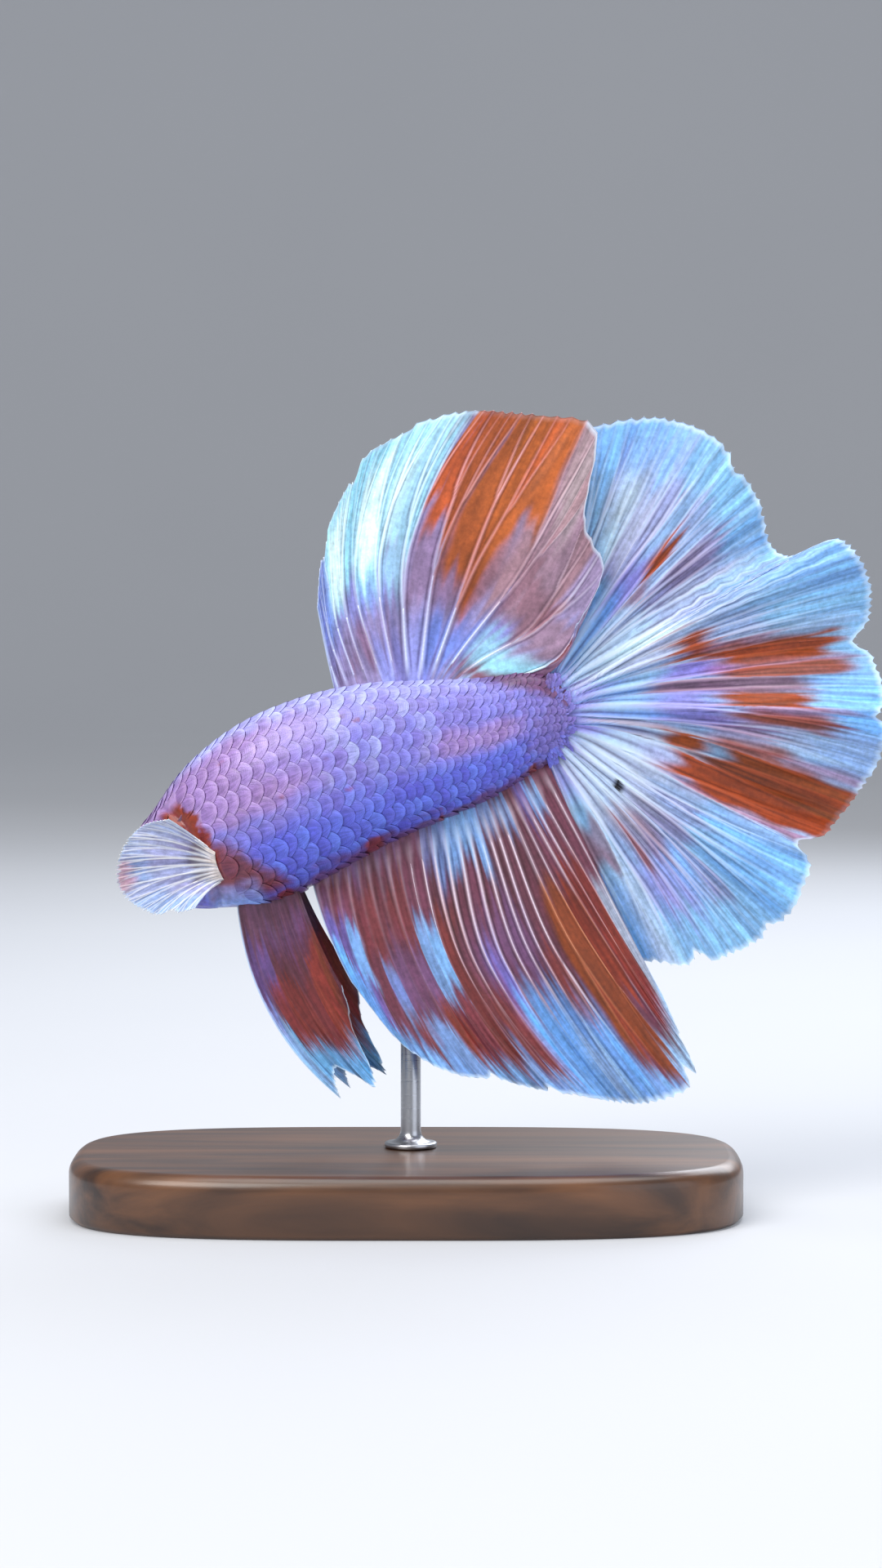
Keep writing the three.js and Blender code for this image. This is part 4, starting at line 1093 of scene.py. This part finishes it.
def fin_piece(name, kind, hand, points, faces, material, uv, tags):
    """A mesh of a fin; the right one of a pair is mirrored across the body's own upright plane."""
    if hand == "right":
        centre, _, left, _, _ = section(FINS[name]["mirrored_at"])
        points = points - 2 * ((points - centre) @ left)[..., None] * left
        faces = [f[:, ::-1] for f in faces]
    label = f"_{hand}" if hand else ""
    return make_piece(f"{name}_fin_{kind}{label}", points, faces, material, uv, tags)


def fin_skin(name, hand, tree, material):
    """The fin's skin: two sheets a hair apart, closed all round, fleshy at the root, raised over the rays."""
    fin = FINS[name]
    n, m = fin["grid"]
    u = np.repeat(np.linspace(0, 1, n)[:, None], m, 1)
    share = np.repeat((1 - (1 - np.linspace(0, 1, m)) ** 1.25)[None], n, 0)
    v = share * fin_reach(fin, tree, u[:, 0])[:, None]
    middle = fin_middle(fin, u, v)
    across = np.gradient(middle, axis=0)
    out = unit(np.cross(across, np.gradient(middle, axis=1)))
    tags, wide, closest, gap = fin_tags(name, tree, u, v)
    stretch = np.linalg.norm(across, axis=-1) * (n - 1)
    apart, wide = gap * stretch, wide * stretch
    # Near the root the rays are so close that the skin is all ridges, with a fold between each two that is
    # painted dark as shade; further out, the skin just beside each ray is painted darker as shade.
    radius = fin["ray_radius"] * (1 - 0.6 * v)
    crowded = 1 - smooth(fin["crowded"] * 0.4, fin["crowded"], v)
    own = np.random.default_rng(9).uniform(0.35, 1.0, len(tree))[closest]
    fading = boldness(fin, tags["across"], v) * smooth(0.03, 0.1, v)
    ridge = bell(apart, 1.15 * radius * (1 - crowded) + 0.34 * wide * crowded + 1e-6)
    tags["ridge"] = ridge * fading * (own + (0.75 - own) * crowded)
    fold = bell(wide / 2 - apart, 0.12 * wide + 1e-6) * crowded * (wide > 0.2)
    tags["painted_valley_shade"] = np.maximum(fold, bell(apart - 2.5 * radius, 0.9 * radius) * own * (1 - crowded)) * fading
    pale_edge = np.maximum(0.6 * smooth(0.978, 0.996, share), 0.7 * (1 - smooth(0, fin["front_edge"], u)))
    tags["rim"] = pale_edge * (1 - 0.85 * tags["orange"])
    half = 0.06 - 0.035 * share + (0.45 * radius + 0.2 * np.minimum(wide, 0.9) * crowded) * ridge * fading
    half = half + fin["swell"][0] * (1 - smooth(0, fin["swell"][1], v)) ** 2
    half = np.minimum(half, 0.03 + 6 * np.minimum(u, 1 - u) + 0 * v)[..., None]
    sheets = np.concatenate([middle + out * half, middle - out * half])
    index = np.arange(n * m).reshape(n, m)
    border = np.concatenate([index[:-1, 0], index[-1, :-1], index[:0:-1, -1], index[0, :0:-1]])
    ahead = np.roll(border, -1)
    edge = np.stack([ahead, border, border + n * m, ahead + n * m], -1)
    faces = [quads_of(n, m), quads_of(n, m, first=n * m)[:, ::-1], edge]
    tags = {key: np.tile(value.ravel(), 2) for key, value in tags.items()}
    flat = np.stack([0.01 + 0.98 * u, 0.01 + 0.48 * share], -1).reshape(-1, 2)
    uv = np.concatenate([flat, flat + np.array([0, 0.5])])
    return fin_piece(name, "skin", hand, sheets, faces, material, uv, tags)


def fin_rays(name, hand, tree, material, sides=6):
    """The fin's rays, as thin tapering rods that fork."""
    fin = FINS[name]
    levels = len(fin["forks"])
    stretches = []
    for tip in tree:
        starts, ends = [0.0, *tip["heights"]], [*tip["heights"], 1.0]
        for n in range(levels + 1):
            if tip["number"] % 2 ** (levels - n) == 0:
                count = max(8, int(48 * (ends[n] - starts[n])))
                stretches.append((tip, n, np.linspace(starts[n], ends[n], count)))
    points, faces, uv, at = [], [], [], []
    first = 0
    turn = 2 * np.pi * np.arange(sides) / sides
    for number, (tip, level, v) in enumerate(stretches):
        u = ray_line(tip, v)
        reach = fin_reach(fin, tree, u[-1:])[0]
        v = v * (1 - smooth(0.6, 1.0, v) * (1 - reach) * 0.9)
        line = fin_middle(fin, u, v)
        ahead = unit(np.gradient(line, axis=0))
        across = unit(np.cross(ahead, [0.0, 1.0, 0.0]))
        ring = np.cos(turn)[:, None, None] * across + np.sin(turn)[:, None, None] * np.cross(across, ahead)
        radius = fin["ray_radius"] * (1 - 0.66 * v) * 0.82**level * (0.4 + 0.6 * boldness(fin, u, v))
        tube = (line[None] + ring * radius[None, :, None]).transpose(1, 0, 2)
        points += [tube.reshape(-1, 3), line[:1], line[-1:]]
        faces += tube_faces(len(u), sides, first)
        along = np.stack([u, v], -1)
        at += [np.repeat(along, sides, 0), along[:1], along[-1:]]
        strip = number + 0.1 + 0.8 * np.arange(sides) / sides
        strip = np.stack([strip + 0 * v[:, None], v[:, None] + 0 * turn], -1)
        strip = np.concatenate([strip.reshape(-1, 2), strip[0, :1], strip[-1, :1]])
        uv.append(strip * [0.98 / len(stretches), 0.98] + 0.01)
        first += len(strip)
    tags = fin_tags(name, tree, *np.concatenate(at).T)[0]
    return fin_piece(name, "rays", hand, np.concatenate(points), faces, material, np.concatenate(uv), tags)


for name, fin in FINS.items():
    tree = grow_rays(fin, 61)
    skin_finish, ray_finish = fin_materials(name)
    for hand in ("left", "right") if "mirrored_at" in fin else ("",):
        sheet = fin_skin(name, hand, tree, skin_finish)
        rods = fin_rays(name, hand, tree, ray_finish)
        for piece in (sheet, rods):
            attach(piece, "root")
        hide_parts(f"{name}_fin_{hand}" if hand else f"{name}_fin")

# ---- The scales on the tail fin's root ---------------------------------------------------------------
# Where the tail fin leaves the body, small untidy scales run on over it in tongues between its rays. They
# are the same plates as the body's, and grow on the fin's own thick skin, on both of its sides.
TAIL_ROOT = dict(across=34, rows=5, from_height=-0.02, pitch=0.012, length=1.05, width=1.25)
fin = FINS["caudal"]
rng = np.random.default_rng(71)
root_u, row = np.meshgrid(np.arange(TAIL_ROOT["across"]) + 0.5, np.arange(TAIL_ROOT["rows"]), indexing="ij")
root_u = ((root_u + 0.5 * (row % 2)) / TAIL_ROOT["across"]).ravel()
root_v = (TAIL_ROOT["from_height"] + TAIL_ROOT["pitch"] * row).ravel()
root_u += rng.uniform(-0.008, 0.008, len(root_u))
root_v += rng.uniform(-0.007, 0.007, len(root_v))
kept = (root_u < 0.985) & (root_v < 0.034 * rng.uniform(0.2, 1.0, len(root_u)))
root_u, root_v = root_u[kept], root_v[kept]
count = len(root_u)
spin, stretch = rng.normal(0, 0.25, (count, 1)), rng.uniform(0.7, 1.25, (count, 1))
length = np.linalg.norm(fin_middle(fin, root_u, 1 + 0 * root_u) - fin_root(fin, root_u), axis=-1)[:, None]
width = TAIL_ROOT["width"] / TAIL_ROOT["across"] / 2
u = root_u[:, None] + width * stretch * (c.ravel() + spin * a.ravel())
v = root_v[:, None] + TAIL_ROOT["length"] * stretch / length * a.ravel()
place = fin_middle(fin, u, v)
out = unit(np.cross(fin_middle(fin, u + 0.002, v) - place, fin_middle(fin, u, v + 0.002) - place))
height = 0.08 + fin["swell"][0] * (1 - smooth(0, fin["swell"][1], v)) ** 2
height = height + rng.uniform(0.12, 0.3, (count, 1)) * a.ravel()
patch = (0.01 + 0.98 * root_u, 0.02 + root_v)
for hand, side in (("left", 1), ("right", -1)):
    tags = body_tags(0.9 + 0 * v, 0.12 + 0.3 * np.clip(u, 0, 1))
    own = rng.random((count, 1))
    coat = scale_coat(f"tail_root_scales_{hand}", place, side * out, height, tags, own, patch)
    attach(coat, "root")

# ---- The studio --------------------------------------------------------------------------------------
# A round floor of pale paper that curves up into a wall far off on every side, glowing faintly as if lit
# through, under soft boxes: a large key from the upper left front, a weak fill, and a rim light behind
# that shines through the fins. The camera looks at the left flank from 0.42 m, 3 degrees from above.
AIM = (8.0, 0.0, -0.8)
CAMERA = dict(distance=420.0, elevation=3.0, lens=98.2)
FLOOR = dict(flat=1150, bend=450, wall=1100, sides=96, glow=0.2)


def placed(x, y, z):
    """A place given in the fish's millimetres, in the frame's metres."""
    return [float(value) for value in (np.array([x, y, z]) + SHIFT) * MM]


# Paper: matt, with a faint cloudiness about 0.2 m across.
paper = new_material("pale_paper", Roughness=0.9)
dress(paper, Base_Color=ramp(paper, noise(paper, 6.0), (0.0, "#a8abb1"), (1.0, "#b0b3b8")))
dress(paper, Emission_Color=linear("#e2e6ee"), Emission_Strength=FLOOR["glow"])

bend = np.radians(np.linspace(0, 90, 24))
radius = [1e-3, 60, 200, 500, *(FLOOR["flat"] + FLOOR["bend"] * np.sin(bend)), FLOOR["flat"] + FLOOR["bend"]]
height = [0, 0, 0, 0, *(FLOOR["bend"] * (1 - np.cos(bend))), FLOOR["wall"]]
radius, height = np.array(radius)[:, None], BASE["bottom"] + np.array(height)[:, None]
turn = 2 * np.pi * np.arange(FLOOR["sides"]) / FLOOR["sides"]
points = np.stack([radius * np.cos(turn), radius * np.sin(turn), height + 0 * turn], -1)
bowl = make_piece("paper_floor", points, [quads_of(len(radius), FLOOR["sides"], wrap=True)], paper)


def soft_box(name, place, width, height, watts, hex_colour):
    """A soft box, an area light aimed at the fish."""
    light = bpy.data.lights.new(name, "AREA")
    light.shape, light.size, light.size_y = "RECTANGLE", width, height
    light.energy, light.color = watts, linear(hex_colour)[:3]
    lamp = bpy.data.objects.new(name, light)
    bpy.context.scene.collection.objects.link(lamp)
    aim_at(lamp, placed(*place), placed(*AIM))


def aim_at(thing, place, target):
    """Puts a lamp or camera in place, looking at the target with its top up."""
    ahead = unit(np.array(target) - np.array(place))
    across = unit(np.cross(ahead, [0.0, 0.0, 1.0]))
    above = np.cross(across, ahead)
    rows = [(across[i], above[i], -ahead[i], place[i]) for i in range(3)]
    thing.matrix_world = Matrix(rows + [(0, 0, 0, 1)])


soft_box("key_box", (-260, -380, 400), 0.40, 0.40, 4.0, "#fffaf4")
soft_box("fill_box", (420, -380, 120), 0.5, 0.5, 1.0, "#eef4ff")
soft_box("top_box", (40, -20, 480), 0.4, 0.4, 2.0, "#ffffff")
soft_box("rim_box", (180, 330, 260), 0.35, 0.35, 1.6, "#f4f8ff")
bpy.context.scene.view_settings.view_transform = "Standard"
world = bpy.data.worlds.new("studio")
bpy.context.scene.world = world
world.use_nodes = True
world.node_tree.nodes["Background"].inputs["Color"].default_value = linear("#dfe4ec")
world.node_tree.nodes["Background"].inputs["Strength"].default_value = 0.24

eyepoint = bpy.data.cameras.new("camera")
eyepoint.lens, eyepoint.sensor_width, eyepoint.sensor_fit = CAMERA["lens"], 36.0, "AUTO"
eyepoint.clip_start = 0.01
camera = bpy.data.objects.new("camera", eyepoint)
bpy.context.scene.collection.objects.link(camera)
lift = math.radians(CAMERA["elevation"])
away = (AIM[0], AIM[1] - CAMERA["distance"] * math.cos(lift), AIM[2] + CAMERA["distance"] * math.sin(lift))
aim_at(camera, placed(*away), placed(*AIM))
bpy.context.scene.camera = camera
